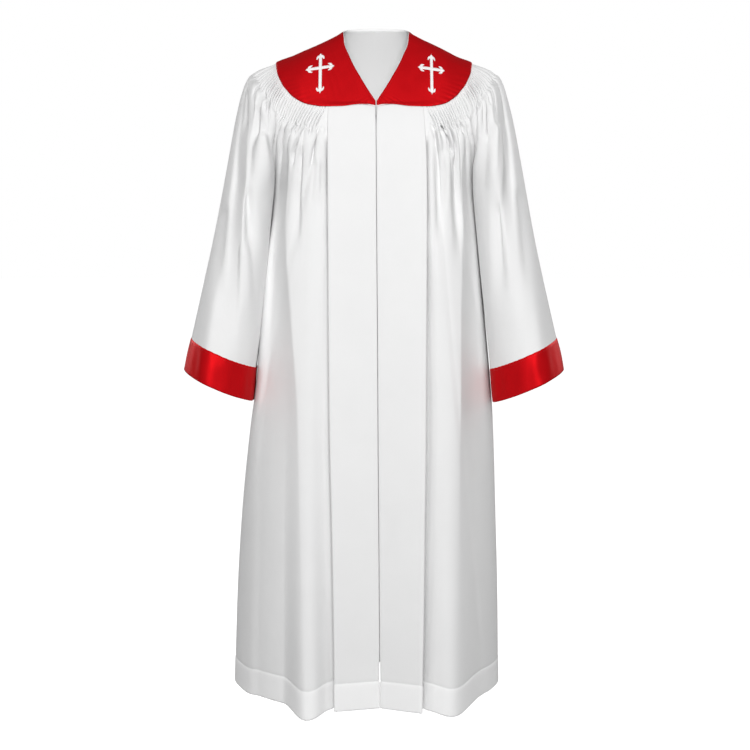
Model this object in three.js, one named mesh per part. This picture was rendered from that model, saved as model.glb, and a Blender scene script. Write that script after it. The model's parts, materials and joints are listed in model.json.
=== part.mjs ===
import * as THREE from "three";

// A choir robe as it hangs on a wearer, in millimetres. X runs to the wearer's left,
// -Y is the front and +Z is up. The origin lies between the two places where the neck
// edge crosses the shoulders. "at" is the distance down a piece from the yoke's edge.

const CLOTH = 1.2;
const SATIN = 1.4;
const LINING = 1.0;
const HEM_CLOTH = 2.2;
const HEM_DEPTH = 50;
const SEAM = 0.3;
const PANEL_GAP = 1.6;
const PLEAT_DEPTH = 25;
const HEM_AT = 1100;
const UNDERARM_AT = 185;
const CUFF_AT = 540;
const CUFF_DEPTH = 60;
const FLUTE_DEPTH = 45;
const FRONT_FLUTES = 16;
const SLEEVE_FLUTES = 36;
const BACK_FLUTES = 60;
const LEAN = -4;
const SAG = 0.1;

// The figure under the yoke, a row for each distance out from the middle. The ridge
// is the top of the shoulder. From it the yoke falls by "drop" while it comes
// forward or back by its depth. "round" is 1 where that path is a quarter ellipse.
const SHOULDER = [
  { at: 0, ridge: 34, front: 112, back: 119, drop: 195, round: 0.3 },
  { at: 30, ridge: 20, front: 112, back: 119, drop: 176, round: 0.3 },
  { at: 62, ridge: -2, front: 112, back: 118, drop: 155, round: 0.35 },
  { at: 100, ridge: -19.8, front: 109.5, back: 114, drop: 137, round: 0.65 },
  { at: 140, ridge: -38.6, front: 100, back: 105, drop: 119.5, round: 0.95 },
  { at: 181.5, ridge: -58, front: 84, back: 86, drop: 110, round: 1 },
];

// The yoke's lower edge from the centre to the top of the shoulder, "turn" being the
// angle past the ridge. The same edge is used in front and behind.
const YOKE_EDGE = [
  { at: 0, x: 0.8, turn: 85.5 },
  { at: 87, x: 88, turn: 85.5 },
  { at: 121, x: 121, turn: 83 },
  { at: 149, x: 144, turn: 75.3 },
  { at: 172, x: 158, turn: 65.2 },
  { at: 186, x: 165, turn: 58.6 },
  { at: 223, x: 176.5, turn: 37.5 },
  { at: 280, x: 181.5, turn: 0 },
];
const YOKE_RUN = 280;
const RAGLAN_RUN = 172;

// The neck's edge: down the V in front, and round the back of the neck.
const NECK_FRONT = [
  { at: 0, x: 0.8, turn: 82.6 },
  { at: 0.25, x: 20, turn: 73.5 },
  { at: 0.5, x: 39.5, turn: 60 },
  { at: 0.68, x: 50, turn: 48 },
  { at: 0.86, x: 59.5, turn: 30 },
  { at: 1, x: 62, turn: 0 },
];
const NECK_BACK = [
  { at: 0, x: 62, y: 0, z: -2 },
  { at: 0.2, x: 62.5, y: 18, z: 3 },
  { at: 0.42, x: 57, y: 36, z: 8.5 },
  { at: 0.62, x: 43, y: 47.5, z: 11 },
  { at: 0.8, x: 23, y: 53.5, z: 12.5 },
  { at: 1, x: 0, y: 56, z: 13 },
];
const YOKE_BACK_CROWN = 7;

// The centre panels: the centre front edge, and the pressed outer edge of each side.
// "gap" is the distance from one layer of the knife pleat to the next.
const PANEL = [
  { at: 0, z: -146.5, centreX: 0, centreY: -111.8, right: 87, left: 85, rightY: -110.6, leftY: -110.6, gap: 2.4 },
  { at: 42, z: -188, centreX: 0, centreY: -117.5, right: 88, left: 88.5, rightY: -118, leftY: -118, gap: 2.8 },
  { at: 85, z: -231, centreX: 0.3, centreY: -121, right: 88, left: 91, rightY: -122.5, leftY: -123, gap: 3.2 },
  { at: 170, z: -316, centreX: 0.7, centreY: -124.5, right: 87.5, left: 92.3, rightY: -127.5, leftY: -129, gap: 3.6 },
  { at: 285, z: -431, centreX: 1.5, centreY: -129, right: 87, left: 92, rightY: -133, leftY: -136, gap: 4.2 },
  { at: 415, z: -561, centreX: 2.5, centreY: -134, right: 86.5, left: 91.5, rightY: -140, leftY: -144, gap: 5 },
  { at: 590, z: -736, centreX: 3.5, centreY: -139, right: 85, left: 91, rightY: -149, leftY: -154, gap: 6 },
  { at: 765, z: -911, centreX: 4.8, centreY: -144, right: 81, left: 89, rightY: -159, leftY: -165, gap: 6 },
  { at: 920, z: -1066, centreX: 6, centreY: -148, right: 78, left: 87, rightY: -167, leftY: -176, gap: 5 },
  { at: 1100, z: -1246, centreX: 7.2, centreY: -151, right: 75.5, left: 83.5, rightY: -175, leftY: -187, gap: 4 },
];

// The seam that ends a front: up to the underarm it is the seam to the sleeve, and
// below it the side seam. "goX", "goY" and "goZ" are the way a section arrives there.
const SIDE = [
  { at: 0, right: 158, left: 158, y: -84.5, z: -113, goX: 0.62, goY: 0.35, goZ: 0.7, full: 0.62 },
  { at: 42, right: 176, left: 176, y: -93, z: -155, goX: 0.7, goY: 0.35, goZ: 0.62, full: 0.62 },
  { at: 85, right: 186, left: 186, y: -80, z: -203, goX: 0.6, goY: 0.76, goZ: 0.25, full: 0.62 },
  { at: 135, right: 192, left: 192, y: -47, z: -252, goX: 0.5, goY: 0.87, goZ: 0.1, full: 0.62 },
  { at: 185, right: 194, left: 194, y: 0, z: -290, goX: 0.35, goY: 0.94, goZ: 0, full: 0.62 },
  { at: 285, right: 199.5, left: 199, y: 0, z: -405, goX: 0.12, goY: 0.99, goZ: 0, full: 0.62 },
  { at: 415, right: 211, left: 210.5, y: 2, z: -545, goX: 0, goY: 1, goZ: 0, full: 0.61 },
  { at: 500, right: 220, left: 219.5, y: 4, z: -638, goX: 0, goY: 1, goZ: 0, full: 0.6 },
  { at: 590, right: 233, left: 226, y: 6, z: -728, goX: 0, goY: 1, goZ: 0, full: 0.59 },
  { at: 765, right: 252, left: 232, y: 8, z: -905, goX: 0, goY: 1, goZ: 0, full: 0.57 },
  { at: 920, right: 262, left: 237, y: 10, z: -1062, goX: 0, goY: 1, goZ: 0, full: 0.53 },
  { at: 1100, right: 268, left: 239.5, y: 12, z: -1232, goX: 0, goY: 1, goZ: 0, full: 0.47 },
];
const BACK_OF_FRONT_SEAM = 1.04;

// The middle of the back.
const CENTRE_BACK = [
  { at: 0, y: 118.6, z: -146 },
  { at: 42, y: 124, z: -188 },
  { at: 85, y: 128, z: -231 },
  { at: 135, y: 130, z: -281 },
  { at: 185, y: 131, z: -331 },
  { at: 285, y: 133, z: -431 },
  { at: 415, y: 139, z: -561 },
  { at: 500, y: 144, z: -646 },
  { at: 590, y: 150, z: -736 },
  { at: 765, y: 163, z: -911 },
  { at: 920, y: 175, z: -1066 },
  { at: 1100, y: 188, z: -1243 },
];

// The sleeves: the outer line, and below the underarm the inner line against the body.
// "lead" and "lag" say how far a section runs forward from the inner and outer lines.
const SLEEVE = [
  { at: 0, outX: 181.5, outY: 0, outZ: -58, inX: 158, inY: -84.5, inZ: -113, lead: 0, lag: 0, goX: 0, goZ: 0 },
  { at: 42, outX: 224, outY: 0, outZ: -76, inX: 176, inY: -93, inZ: -155, lead: 36, lag: 62, goX: 0.25, goZ: 0.45 },
  { at: 85, outX: 246, outY: -2, outZ: -112, inX: 186, inY: -80, inZ: -203, lead: 58, lag: 84, goX: -0.12, goZ: 0.12 },
  { at: 135, outX: 258, outY: -3, outZ: -155, inX: 192, inY: -47, inZ: -252, lead: 100, lag: 104, goX: -0.16, goZ: 0.04 },
  { at: 185, outX: 268, outY: -4, outZ: -210, inX: 194, inY: 0, inZ: -290, lead: 152, lag: 128, goX: -0.12, goZ: 0 },
  { at: 260, outX: 284, outY: -6, outZ: -296, inX: 198.5, inY: 0, inZ: -362, lead: 150, lag: 140, goX: -0.07, goZ: 0 },
  { at: 345, outX: 301, outY: -9, outZ: -385, inX: 205, inY: -3, inZ: -448, lead: 152, lag: 148, goX: -0.05, goZ: 0 },
  { at: 445, outX: 322, outY: -12, outZ: -480, inX: 213.5, inY: -7, inZ: -540, lead: 156, lag: 156, goX: -0.04, goZ: 0 },
  { at: 540, outX: 343, outY: -15, outZ: -572, inX: 222, inY: -10, inZ: -628, lead: 160, lag: 162, goX: -0.03, goZ: 0 },
  { at: 600, outX: 356, outY: -17, outZ: -628, inX: 227, inY: -12, inZ: -688, lead: 162, lag: 166, goX: -0.03, goZ: 0 },
];

// The largest folds. x is the distance from the middle where a fold starts and ends,
// "inner" and "outer" are its half widths there, and a positive height stands forward.
// What stands forward on a front hangs lower by SAG of its height.
const FOLDS = {
  right: [
    { name: "hem crest", z: -560, endZ: -1246, x: 144, endX: 134, inner: 46, outer: 22, height: 2, endHeight: 62 },
    { name: "long valley", z: -235, endZ: -1246, x: 163, endX: 190, inner: 34, outer: 46, height: -5, endHeight: -46 },
    { name: "gather by the pleat", z: -186, endZ: -330, x: 104, endX: 134, inner: 8, outer: 8, height: -5, endHeight: -1 },
    { name: "gather by the sleeve", z: -165, endZ: -330, x: 156, endX: 178, inner: 9, outer: 9, height: 4, endHeight: 2 },
    { name: "outer swell", z: -700, endZ: -1246, x: 218, endX: 232, inner: 20, outer: 26, height: 2, endHeight: 9 },
  ],
  left: [
    { name: "hem crest", z: -520, endZ: -1246, x: 140, endX: 160, inner: 54, outer: 26, height: 2, endHeight: 48 },
    { name: "long valley", z: -300, endZ: -1246, x: 168, endX: 197, inner: 16, outer: 24, height: -4, endHeight: -20 },
    { name: "gather by the pleat", z: -180, endZ: -320, x: 102, endX: 116, inner: 8, outer: 8, height: -5, endHeight: -1 },
    { name: "slanting gather", z: -180, endZ: -330, x: 120, endX: 152, inner: 8, outer: 9, height: -5, endHeight: -1 },
    { name: "soft valley by the panel", z: -520, endZ: -1180, x: 104, endX: 98, inner: 16, outer: 16, height: -3, endHeight: -6 },
  ],
  back: [
    { name: "fold 1", z: -190, endZ: -1246, x: -176, endX: -214, inner: 20, outer: 26, height: -3, endHeight: -20 },
    { name: "fold 2", z: -190, endZ: -1246, x: -142, endX: -164, inner: 18, outer: 26, height: 3, endHeight: 26 },
    { name: "fold 3", z: -190, endZ: -1246, x: -108, endX: -116, inner: 16, outer: 24, height: -3, endHeight: -22 },
    { name: "fold 4", z: -190, endZ: -1246, x: -70, endX: -74, inner: 18, outer: 26, height: 3, endHeight: 20 },
    { name: "fold 5", z: -190, endZ: -1246, x: -24, endX: -28, inner: 20, outer: 28, height: -4, endHeight: -18 },
    { name: "fold 6", z: -190, endZ: -1246, x: 20, endX: 22, inner: 20, outer: 24, height: 3, endHeight: 22 },
    { name: "fold 7", z: -190, endZ: -1246, x: 62, endX: 70, inner: 18, outer: 24, height: -3, endHeight: -24 },
    { name: "fold 8", z: -190, endZ: -1246, x: 104, endX: 116, inner: 18, outer: 24, height: 3, endHeight: 24 },
    { name: "fold 9", z: -190, endZ: -1246, x: 144, endX: 162, inner: 18, outer: 24, height: -3, endHeight: -18 },
    { name: "fold 10", z: -190, endZ: -1246, x: 178, endX: 202, inner: 16, outer: 20, height: 2, endHeight: 14 },
  ],
  sleeve: [
    { name: "long valley", z: -120, endZ: -560, x: 226, endX: 268, inner: 14, outer: 14, height: -7, endHeight: -3 },
    { name: "front lobe", z: -150, endZ: -420, x: 208, endX: 218, inner: 16, outer: 16, height: 3, endHeight: 2 },
    { name: "outer swell", z: -330, endZ: -620, x: 292, endX: 308, inner: 24, outer: 24, height: 2, endHeight: 5 },
  ],
};

// The raised cross on each side of the yoke, in its own plane, and where it lies.
const CROSS = { x: 103, z: -73, height: 76, span: 50, arm: 5.2, thick: 1.2, barAbove: 28 };
const CROSS_TILT = { right: 10, left: 9 };
const CROSS_END = [
  { back: 9, out: 0 },
  { back: 11.5, out: 3.6 },
  { back: 6.2, out: 2.8 },
  { back: 3.4, out: 0.2 },
];

const WHITE = new THREE.MeshStandardMaterial({ color: 0xf2f2f2 });
const RED = new THREE.MeshStandardMaterial({ color: 0xb4101a });

const clamp = (value) => Math.min(Math.max(value, 0), 1);
const mix = (from, to, share) => from + (to - from) * share;
const ease = (value) => clamp(value) ** 2 * (3 - 2 * clamp(value));
const radians = (degrees) => (degrees * Math.PI) / 180;
const steps = (count, from = 0, to = 1) =>
  Array.from({ length: count + 1 }, (unused, step) => mix(from, to, step / count));

// The value of one column of a table at any place, on a smooth curve through its rows
// that never swings past them.
function read(table, column, at) {
  const last = table.length - 1;
  let row = 0;
  while (row < last - 1 && at > table[row + 1].at) row += 1;
  const rise = (index) =>
    (table[index + 1][column] - table[index][column]) / (table[index + 1].at - table[index].at);
  const slope = (index) => {
    if (index === 0) return rise(0);
    if (index === last) return rise(last - 1);
    const [before, after] = [rise(index - 1), rise(index)];
    return before * after > 0 ? (2 * before * after) / (before + after) : 0;
  };
  const span = table[row + 1].at - table[row].at;
  const t = clamp((at - table[row].at) / span);
  const from = table[row][column];
  const to = table[row + 1][column];
  const curve = from * (1 - t) ** 2 * (1 + 2 * t) + to * t ** 2 * (3 - 2 * t);
  return curve + span * (slope(row) * t * (1 - t) ** 2 - slope(row + 1) * t ** 2 * (1 - t));
}

// The yoke's form: x out from the middle, "turn" degrees past the ridge, in front
// where face is -1 and behind where it is 1.
function figure(x, turn, face) {
  const fall = 1 - Math.cos(radians(turn));
  const round = face < 0 ? read(SHOULDER, "round", x) : 1;
  const reach = mix(fall, Math.sin(radians(turn)), round);
  const depth = read(SHOULDER, face < 0 ? "front" : "back", x);
  return new THREE.Vector3(x, face * depth * reach, read(SHOULDER, "ridge", x) - read(SHOULDER, "drop", x) * fall);
}

// A point of the yoke's lower edge, "run" millimetres round from the centre.
function yokeEdge(run, face) {
  return figure(read(YOKE_EDGE, "x", run), read(YOKE_EDGE, "turn", run), face);
}

// The front of the yoke: round is 0 at the centre and 1 on the shoulder, out is 0 at
// the neck and 1 at the lower edge.
function yokeFront(round, out) {
  const x = mix(read(NECK_FRONT, "x", round), read(YOKE_EDGE, "x", round * YOKE_RUN), out);
  const turn = mix(read(NECK_FRONT, "turn", round), read(YOKE_EDGE, "turn", round * YOKE_RUN), out);
  return figure(x, turn, -1);
}

// The back of the yoke on one side: round is 0 on the shoulder and 1 at the centre.
function yokeBack(round, out) {
  const neck = new THREE.Vector3(...["x", "y", "z"].map((axis) => read(NECK_BACK, axis, round)));
  const edge = yokeEdge((1 - round) * YOKE_RUN, 1);
  edge.x *= 1 - ease((round - 0.97) / 0.03);
  const crown = YOKE_BACK_CROWN * 4 * out * (1 - out) * Math.sin((Math.PI * round) / 2);
  return neck.lerp(edge, out).add(new THREE.Vector3(0, crown * 0.7, crown * 0.7));
}

// A cubic curve from one point to another with a handle at each end.
function arc(from, leave, arrive, to, t) {
  return new THREE.Vector3()
    .addScaledVector(from, (1 - t) ** 3)
    .addScaledVector(leave, 3 * t * (1 - t) ** 2)
    .addScaledVector(arrive, 3 * t ** 2 * (1 - t))
    .addScaledVector(to, t ** 3);
}

// A surface through several section curves: across runs along a section.
function through(sections, across, at) {
  const places = sections.map((section) => {
    const point = section.curve(across);
    return { at: section.at, x: point.x, y: point.y, z: point.z };
  });
  return new THREE.Vector3(...["x", "y", "z"].map((axis) => read(places, axis, at)));
}

// How far the folds in a list move a point forward, from its x and z.
function folding(folds, x, z) {
  let height = 0;
  for (const fold of folds) {
    const down = (fold.z - z) / (fold.z - fold.endZ);
    const offset = x - mix(fold.x, fold.endX, down);
    const width = offset < 0 ? fold.inner : fold.outer;
    const near = Math.abs(offset) / (width * mix(0.8, 1.15, clamp(down)));
    if (near < 1 && down > 0) {
      const swell = ease(down / 0.12) * mix(fold.height, fold.endHeight, clamp(down) ** 1.6);
      height += swell * Math.cos((near * Math.PI) / 2) ** 2;
    }
  }
  return height;
}

// The centre panel and its pleat at one level. "recess" is how far the panel falls
// back from its pressed edge to where the pleat's inner fold lies behind it.
function panelSizes(side, at) {
  const centre = read(PANEL, "centreX", at) * (side === "right" ? -1 : 1) + PANEL_GAP / 2;
  const centreY = read(PANEL, "centreY", at);
  const edge = read(PANEL, side, at);
  const edgeY = read(PANEL, `${side}Y`, at);
  const recess = ((centreY - edgeY) * PLEAT_DEPTH) / (edge - centre);
  return { centre, centreY, edge, edgeY, recess, gap: read(PANEL, "gap", at), z: read(PANEL, "z", at) };
}

// The panel's own points at one level, from the centre front to behind its edge.
function panelPoints(side, at) {
  const { centre, centreY, edge, edgeY, recess, gap, z } = panelSizes(side, at);
  const inner = edge - PLEAT_DEPTH;
  const plan = [
    [centre, centreY],
    [mix(centre, edge, 0.5), mix(centreY, edgeY, 0.5) - 0.6],
    [edge - gap / 2, edgeY],
    [edge, edgeY + gap / 2],
    [edge - gap / 2, edgeY + gap],
    [inner + gap / 2, edgeY + gap + recess],
    [inner, edgeY + gap * 1.5 + recess],
  ];
  const fit = 1 - ease(at / FLUTE_DEPTH);
  return plan.map(([x, y], index) => {
    const top = yokeEdge(Math.max(x, 1), -1);
    const layer = index < 3 ? 0 : y - edgeY;
    const topZ = top.z - (index < 3 ? 1 : 3);
    return new THREE.Vector3(x, mix(y, top.y + layer, fit), mix(z, topZ, fit));
  });
}

// The side front's sections from behind the panel's edge to the seam.
function frontSections(side) {
  const sections = SIDE.map((row) => {
    const { edge, edgeY, recess, gap, z } = panelSizes(side, row.at);
    const from = new THREE.Vector3(edge - PLEAT_DEPTH + gap / 2, edgeY + gap * 2 + recess, z);
    const to = new THREE.Vector3(row[side], row.y, row.z);
    const go = new THREE.Vector3(row.goX, row.goY, row.goZ).normalize();
    const leave = from.clone().add(new THREE.Vector3((to.x - from.x) * row.full, -2 - recess * 1.5, 0));
    const reach = mix(0.34 * from.distanceTo(to), (to.y - from.y) * row.full, ease((row.at - 42) / 143));
    const arrive = to.clone().addScaledVector(go, -reach);
    to.addScaledVector(go, -SEAM);
    return { at: row.at, curve: (across) => arc(from, leave, arrive, to, across) };
  });
  const start = sections[0].curve(0);
  sections[0].curve = (across) => {
    const hidden = 1 - ease(across / 0.3);
    const point = yokeEdge(mix(62, RAGLAN_RUN - SEAM / 2, across), -1);
    return point.add(new THREE.Vector3(0, (start.y - point.y) * hidden, -0.6 - 2.4 * hidden));
  };
  return sections;
}

function backSections() {
  const corner = (row, side) =>
    new THREE.Vector3(row[side] * (side === "right" ? -1 : 1), -row.y * BACK_OF_FRONT_SEAM, row.z);
  return SIDE.map((row) => {
    const ends = ["right", "left"].map((side) => {
      const end = corner(row, side);
      if (row.at >= UNDERARM_AT) end.y = row.y;
      return end;
    });
    const middle = new THREE.Vector3(0, read(CENTRE_BACK, "y", row.at), read(CENTRE_BACK, "z", row.at));
    const curve = (across) => {
      const sign = across < 0.5 ? -1 : 1;
      const end = ends[across < 0.5 ? 0 : 1];
      const go = new THREE.Vector3(row.goX * sign, -row.goY, row.goZ).normalize();
      const reach = mix(0.34 * end.distanceTo(middle), (middle.y - end.y) * 0.62, ease((row.at - 42) / 143));
      const arrive = end.clone().addScaledVector(go, -reach);
      const leave = middle.clone().add(new THREE.Vector3((end.x - middle.x) * 0.6, 0, 0));
      const last = end.clone().addScaledVector(go, -SEAM);
      return arc(middle, leave, arrive, last, Math.abs(across - 0.5) * 2);
    };
    const yoke = (across) => {
      const point = yokeEdge(Math.abs(across - 0.5) * 2 * (RAGLAN_RUN - SEAM / 2), 1);
      const middleward = clamp(Math.abs(across - 0.5) * 40);
      return new THREE.Vector3(point.x * middleward * Math.sign(across - 0.5), point.y, point.z - 0.6);
    };
    return { at: row.at, curve: row.at === 0 ? yoke : curve };
  });
}

// A sleeve's sections, from the front seam over the outer line to the back seam.
function sleeveSections() {
  const curve = (row) => (across) => {
    const face = across < 0.5 ? -1 : 1;
    const t = 1 - Math.abs(across - 0.5) * 2;
    const open = 1 - ease((row.at - 135) / 50);
    const step = mix(1.5, 1.5 + 0.4 * open, open);
    const from = new THREE.Vector3(row.inX + step, row.inY, row.inZ);
    if (face > 0) from.y = row.at < UNDERARM_AT ? -row.inY * BACK_OF_FRONT_SEAM : row.inY;
    const to = new THREE.Vector3(row.outX, row.outY, row.outZ);
    const leave = from.clone().add(new THREE.Vector3(row.goX, face, row.goZ).multiplyScalar(row.lead));
    const arrive = to.clone().add(new THREE.Vector3(0, face * row.lag, -0.12 * row.lag * open));
    return arc(from, leave, arrive, to, t);
  };
  const sections = SLEEVE.map((row) => ({ at: row.at, curve: curve(row) }));
  sections[0].curve = (across) => {
    const face = across < 0.5 ? -1 : 1;
    const run = mix(RAGLAN_RUN + SEAM, YOKE_RUN, 1 - Math.abs(across - 0.5) * 2);
    const point = yokeEdge(run, face);
    const out = new THREE.Vector3(0.35, 0, -0.45);
    return point.add(out);
  };
  return sections;
}

// One grid row of a piece: points across it, moved along the surface's own normal.
function gridRow(surface, relief, places, at, thick) {
  const small = 0.004;
  const points = places.map((across) => {
    const point = surface(across, at);
    const height = relief(across, at);
    if (height === 0) return point;
    const sideways = surface(Math.min(across + small, 1), at).sub(surface(Math.max(across - small, 0), at));
    const down = surface(across, at + 2).sub(surface(across, Math.max(at - 2, 0)));
    return point.addScaledVector(down.cross(sideways).normalize(), height);
  });
  return { points, places, thick };
}

// A closed wall of cloth round a sheet of rows. Rows may differ in how many points
// they have. Points that coincide are one, so a row whose ends meet makes a tube.
function wall(rows) {
  const points = [];
  const thick = [];
  const known = new Map();
  const numbers = rows.map((row) =>
    row.points.map((point) => {
      const key = point.toArray().map((value) => Math.round(value * 500)).join();
      if (!known.has(key)) {
        known.set(key, points.length);
        points.push(point);
        thick.push(row.thick);
      }
      return known.get(key);
    }),
  );
  const faces = [];
  for (let row = 0; row < rows.length - 1; row += 1) {
    const [upper, lower] = [numbers[row], numbers[row + 1]];
    const [upperAt, lowerAt] = [rows[row].places, rows[row + 1].places];
    let i = 0;
    let j = 0;
    while (i < upper.length - 1 || j < lower.length - 1) {
      let alongUpper = j === lower.length - 1;
      if (!alongUpper && i < upper.length - 1) {
        const lead = upperAt[i] + upperAt[i + 1] - lowerAt[j] - lowerAt[j + 1];
        const across = points[upper[i + 1]].distanceTo(points[lower[j]]);
        const other = points[upper[i]].distanceTo(points[lower[j + 1]]);
        alongUpper = Math.abs(lead) < 1e-6 ? across < other : lead < 0;
      }
      const face = alongUpper ? [upper[i], lower[j], upper[i + 1]] : [upper[i], lower[j], lower[j + 1]];
      if (alongUpper) i += 1;
      else j += 1;
      if (new Set(face).size === 3) faces.push(face);
    }
  }
  return thicken(points, faces, thick);
}

// Gives a sheet of faces its thickness, half to each side, and closes its edges.
function thicken(points, faces, thick) {
  const normals = points.map(() => new THREE.Vector3());
  const sides = new Map();
  for (const [a, b, c] of faces) {
    const normal = points[b].clone().sub(points[a]).cross(points[c].clone().sub(points[a]));
    for (const corner of [a, b, c]) normals[corner].add(normal);
    for (const [from, to] of [[a, b], [b, c], [c, a]]) sides.set(`${from},${to}`, [from, to]);
  }
  const positions = [];
  for (const half of [0.5, -0.5]) {
    points.forEach((point, corner) => {
      const outward = normals[corner].clone().normalize();
      positions.push(...point.clone().addScaledVector(outward, half * thick[corner]).toArray());
    });
  }
  const count = points.length;
  const index = faces.flatMap(([a, b, c]) => [a, b, c, a + count, c + count, b + count]);
  for (const [from, to] of sides.values()) {
    if (!sides.has(`${to},${from}`)) {
      index.push(to, from, from + count, to, from + count, to + count);
    }
  }
  const geometry = new THREE.BufferGeometry();
  geometry.setAttribute("position", new THREE.Float32BufferAttribute(positions, 3));
  geometry.setIndex(index);
  return geometry;
}

// Moves what lies outside the neck a little to the wearer's right, as the robe hangs.
function leaning(rows) {
  for (const row of rows) {
    for (const point of row.points) {
      point.x += LEAN * ease((Math.abs(point.x) - 90) / 80);
    }
  }
  return rows;
}

function mirrored(rows) {
  for (const row of rows) {
    for (const point of row.points) point.x *= -1;
  }
  return rows;
}

// The flutes that draw the cloth in under the yoke: crests and hollows by turns.
function fluting(count, across, at) {
  const strength = mix(0.25, 0.9, ease(at / 22)) * (1 - ease((at - 48) / 22));
  return strength * Math.cos(across * count * 2 * Math.PI);
}

const BODY_LEVELS = [66, 92, 130, 175, 235, 310, 400, 500, 600, 700, 800, 900, 980, 1049, 1051, HEM_AT];
const SLEEVE_LEVELS = [66, 90, 112, 135, 160, UNDERARM_AT, 225, 285, 360, 450, CUFF_AT - SEAM / 2];

function hemThickness(at) {
  return at > HEM_AT - HEM_DEPTH ? HEM_CLOTH : CLOTH;
}

function frontPiece(side) {
  const sections = frontSections(side);
  const surface = (across, at) => {
    const point = through(sections, across, at);
    const open = ease(across / 0.2) * (1 - ease((across - 0.92) / 0.08));
    const fold = folding(FOLDS[side], point.x, point.z) * open;
    point.y -= fold;
    point.z -= fold * SAG;
    return point;
  };
  const flutesFrom = 0.24;
  const relief = (across, at) =>
    across <= flutesFrom ? 0 : fluting(FRONT_FLUTES, (across - flutesFrom) / (1 - flutesFrom), at);
  const fluted = [0, ...steps(FRONT_FLUTES * 2, flutesFrom, 1)];
  const gathered = [0, ...steps(18, 0.16, 1)];
  const draped = steps(20);
  const panelPlaces = steps(6, -1, -0.02);
  const row = (places, at) => {
    const made = gridRow(surface, relief, places, at, hemThickness(at));
    made.points = [...panelPoints(side, at), ...made.points];
    made.places = [...panelPlaces, ...places];
    return made;
  };
  const rows = [0, 18, FLUTE_DEPTH].map((at) => row(fluted, at));
  for (const at of BODY_LEVELS) rows.push(row(at < 140 ? gathered : draped, at));
  return leaning(side === "right" ? mirrored(rows) : rows);
}

function backPiece() {
  const sections = backSections();
  const surface = (across, at) => {
    const point = through(sections, across, at);
    const open = ease(across / 0.06) * ease((1 - across) / 0.06);
    point.y += folding(FOLDS.back, point.x, point.z) * open;
    return point;
  };
  const relief = (across, at) => fluting(BACK_FLUTES, across, at);
  const rows = [0, 18, FLUTE_DEPTH].map((at) => gridRow(surface, relief, steps(BACK_FLUTES * 2), at, CLOTH));
  for (const at of BODY_LEVELS) {
    rows.push(gridRow(surface, relief, steps(at < 140 ? 46 : 34), at, hemThickness(at)));
  }
  return leaning(rows);
}

function sleeveSurface(across, at) {
  const point = through(SLEEVE_SECTIONS, across, at);
  const front = ease((0.5 - across) / 0.06) * ease((across - 0.02) / 0.1);
  const behind = ease((across - 0.5) / 0.06) * ease((0.98 - across) / 0.1);
  point.y -= folding(FOLDS.sleeve, point.x, point.z) * (front - behind * 0.8);
  return point;
}

const SLEEVE_SECTIONS = sleeveSections();

function sleevePiece(side) {
  const relief = (across, at) => fluting(SLEEVE_FLUTES, across, at);
  const rows = [0, 18, FLUTE_DEPTH].map((at) =>
    gridRow(sleeveSurface, relief, steps(SLEEVE_FLUTES * 2), at, CLOTH),
  );
  for (const at of SLEEVE_LEVELS) rows.push(gridRow(sleeveSurface, relief, steps(at < 100 ? 36 : 30), at, CLOTH));
  return leaning(side === "right" ? mirrored(rows) : rows);
}

function cuffPiece(side) {
  const rows = [CUFF_AT + SEAM / 2, CUFF_AT + CUFF_DEPTH / 2, CUFF_AT + CUFF_DEPTH].map((at) =>
    gridRow(sleeveSurface, () => 0, steps(30), at, SATIN),
  );
  return leaning(side === "right" ? mirrored(rows) : rows);
}

function yokeFrontPiece(side, sink, thick) {
  const relief = () => sink;
  const shoulderStop = 1 - 0.0012;
  const rows = steps(18, 0, shoulderStop).map((round) =>
    gridRow((out, at) => yokeFront(clamp(at / 200), out), relief, steps(6), round * 200, thick),
  );
  return leaning(side === "right" ? mirrored(rows) : rows);
}

function yokeBackPiece(sink, thick, rowCount) {
  const surface = (out, at) => {
    const share = clamp(at / 400) * 2 - 1;
    const point = yokeBack(1 - Math.abs(share), out);
    point.x *= share < 0 ? -1 : 1;
    return point;
  };
  const rows = steps(rowCount, 0.0006, 1 - 0.0006).map((place) =>
    gridRow(surface, () => -sink, steps(5), place * 400, thick),
  );
  return leaning(rows);
}

// One limb of a cross, along x from the middle to its three-pointed end.
function limb(reach) {
  const half = CROSS.arm / 2;
  const bar = reach - CROSS_END[0].back;
  const across = steps(reach > 30 ? 4 : 2).map((share) => ({ along: mix(half, bar, share), out: half }));
  const end = CROSS_END.slice(1).map((corner) => ({ along: reach - corner.back, out: half + corner.out }));
  const edge = [...across, ...end];
  const points = [...edge, ...edge.map(({ along, out }) => ({ along, out: -out })), { along: reach, out: 0 }];
  const count = edge.length;
  const last = across.length - 1;
  const faces = [];
  for (let step = 0; step < last; step += 1) {
    faces.push([step, step + count, step + 1 + count], [step, step + 1 + count, step + 1]);
  }
  faces.push([last, last + 2, last + 1], [last, last + 3, last + 2]);
  faces.push([last + count, last + 1 + count, last + 2 + count], [last + count, last + 2 + count, last + 3 + count]);
  faces.push([last, last + count, last + 3 + count], [last, last + 3 + count, last + 3]);
  faces.push([last + 3, last + 3 + count, 2 * count]);
  return { points, faces };
}

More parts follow.
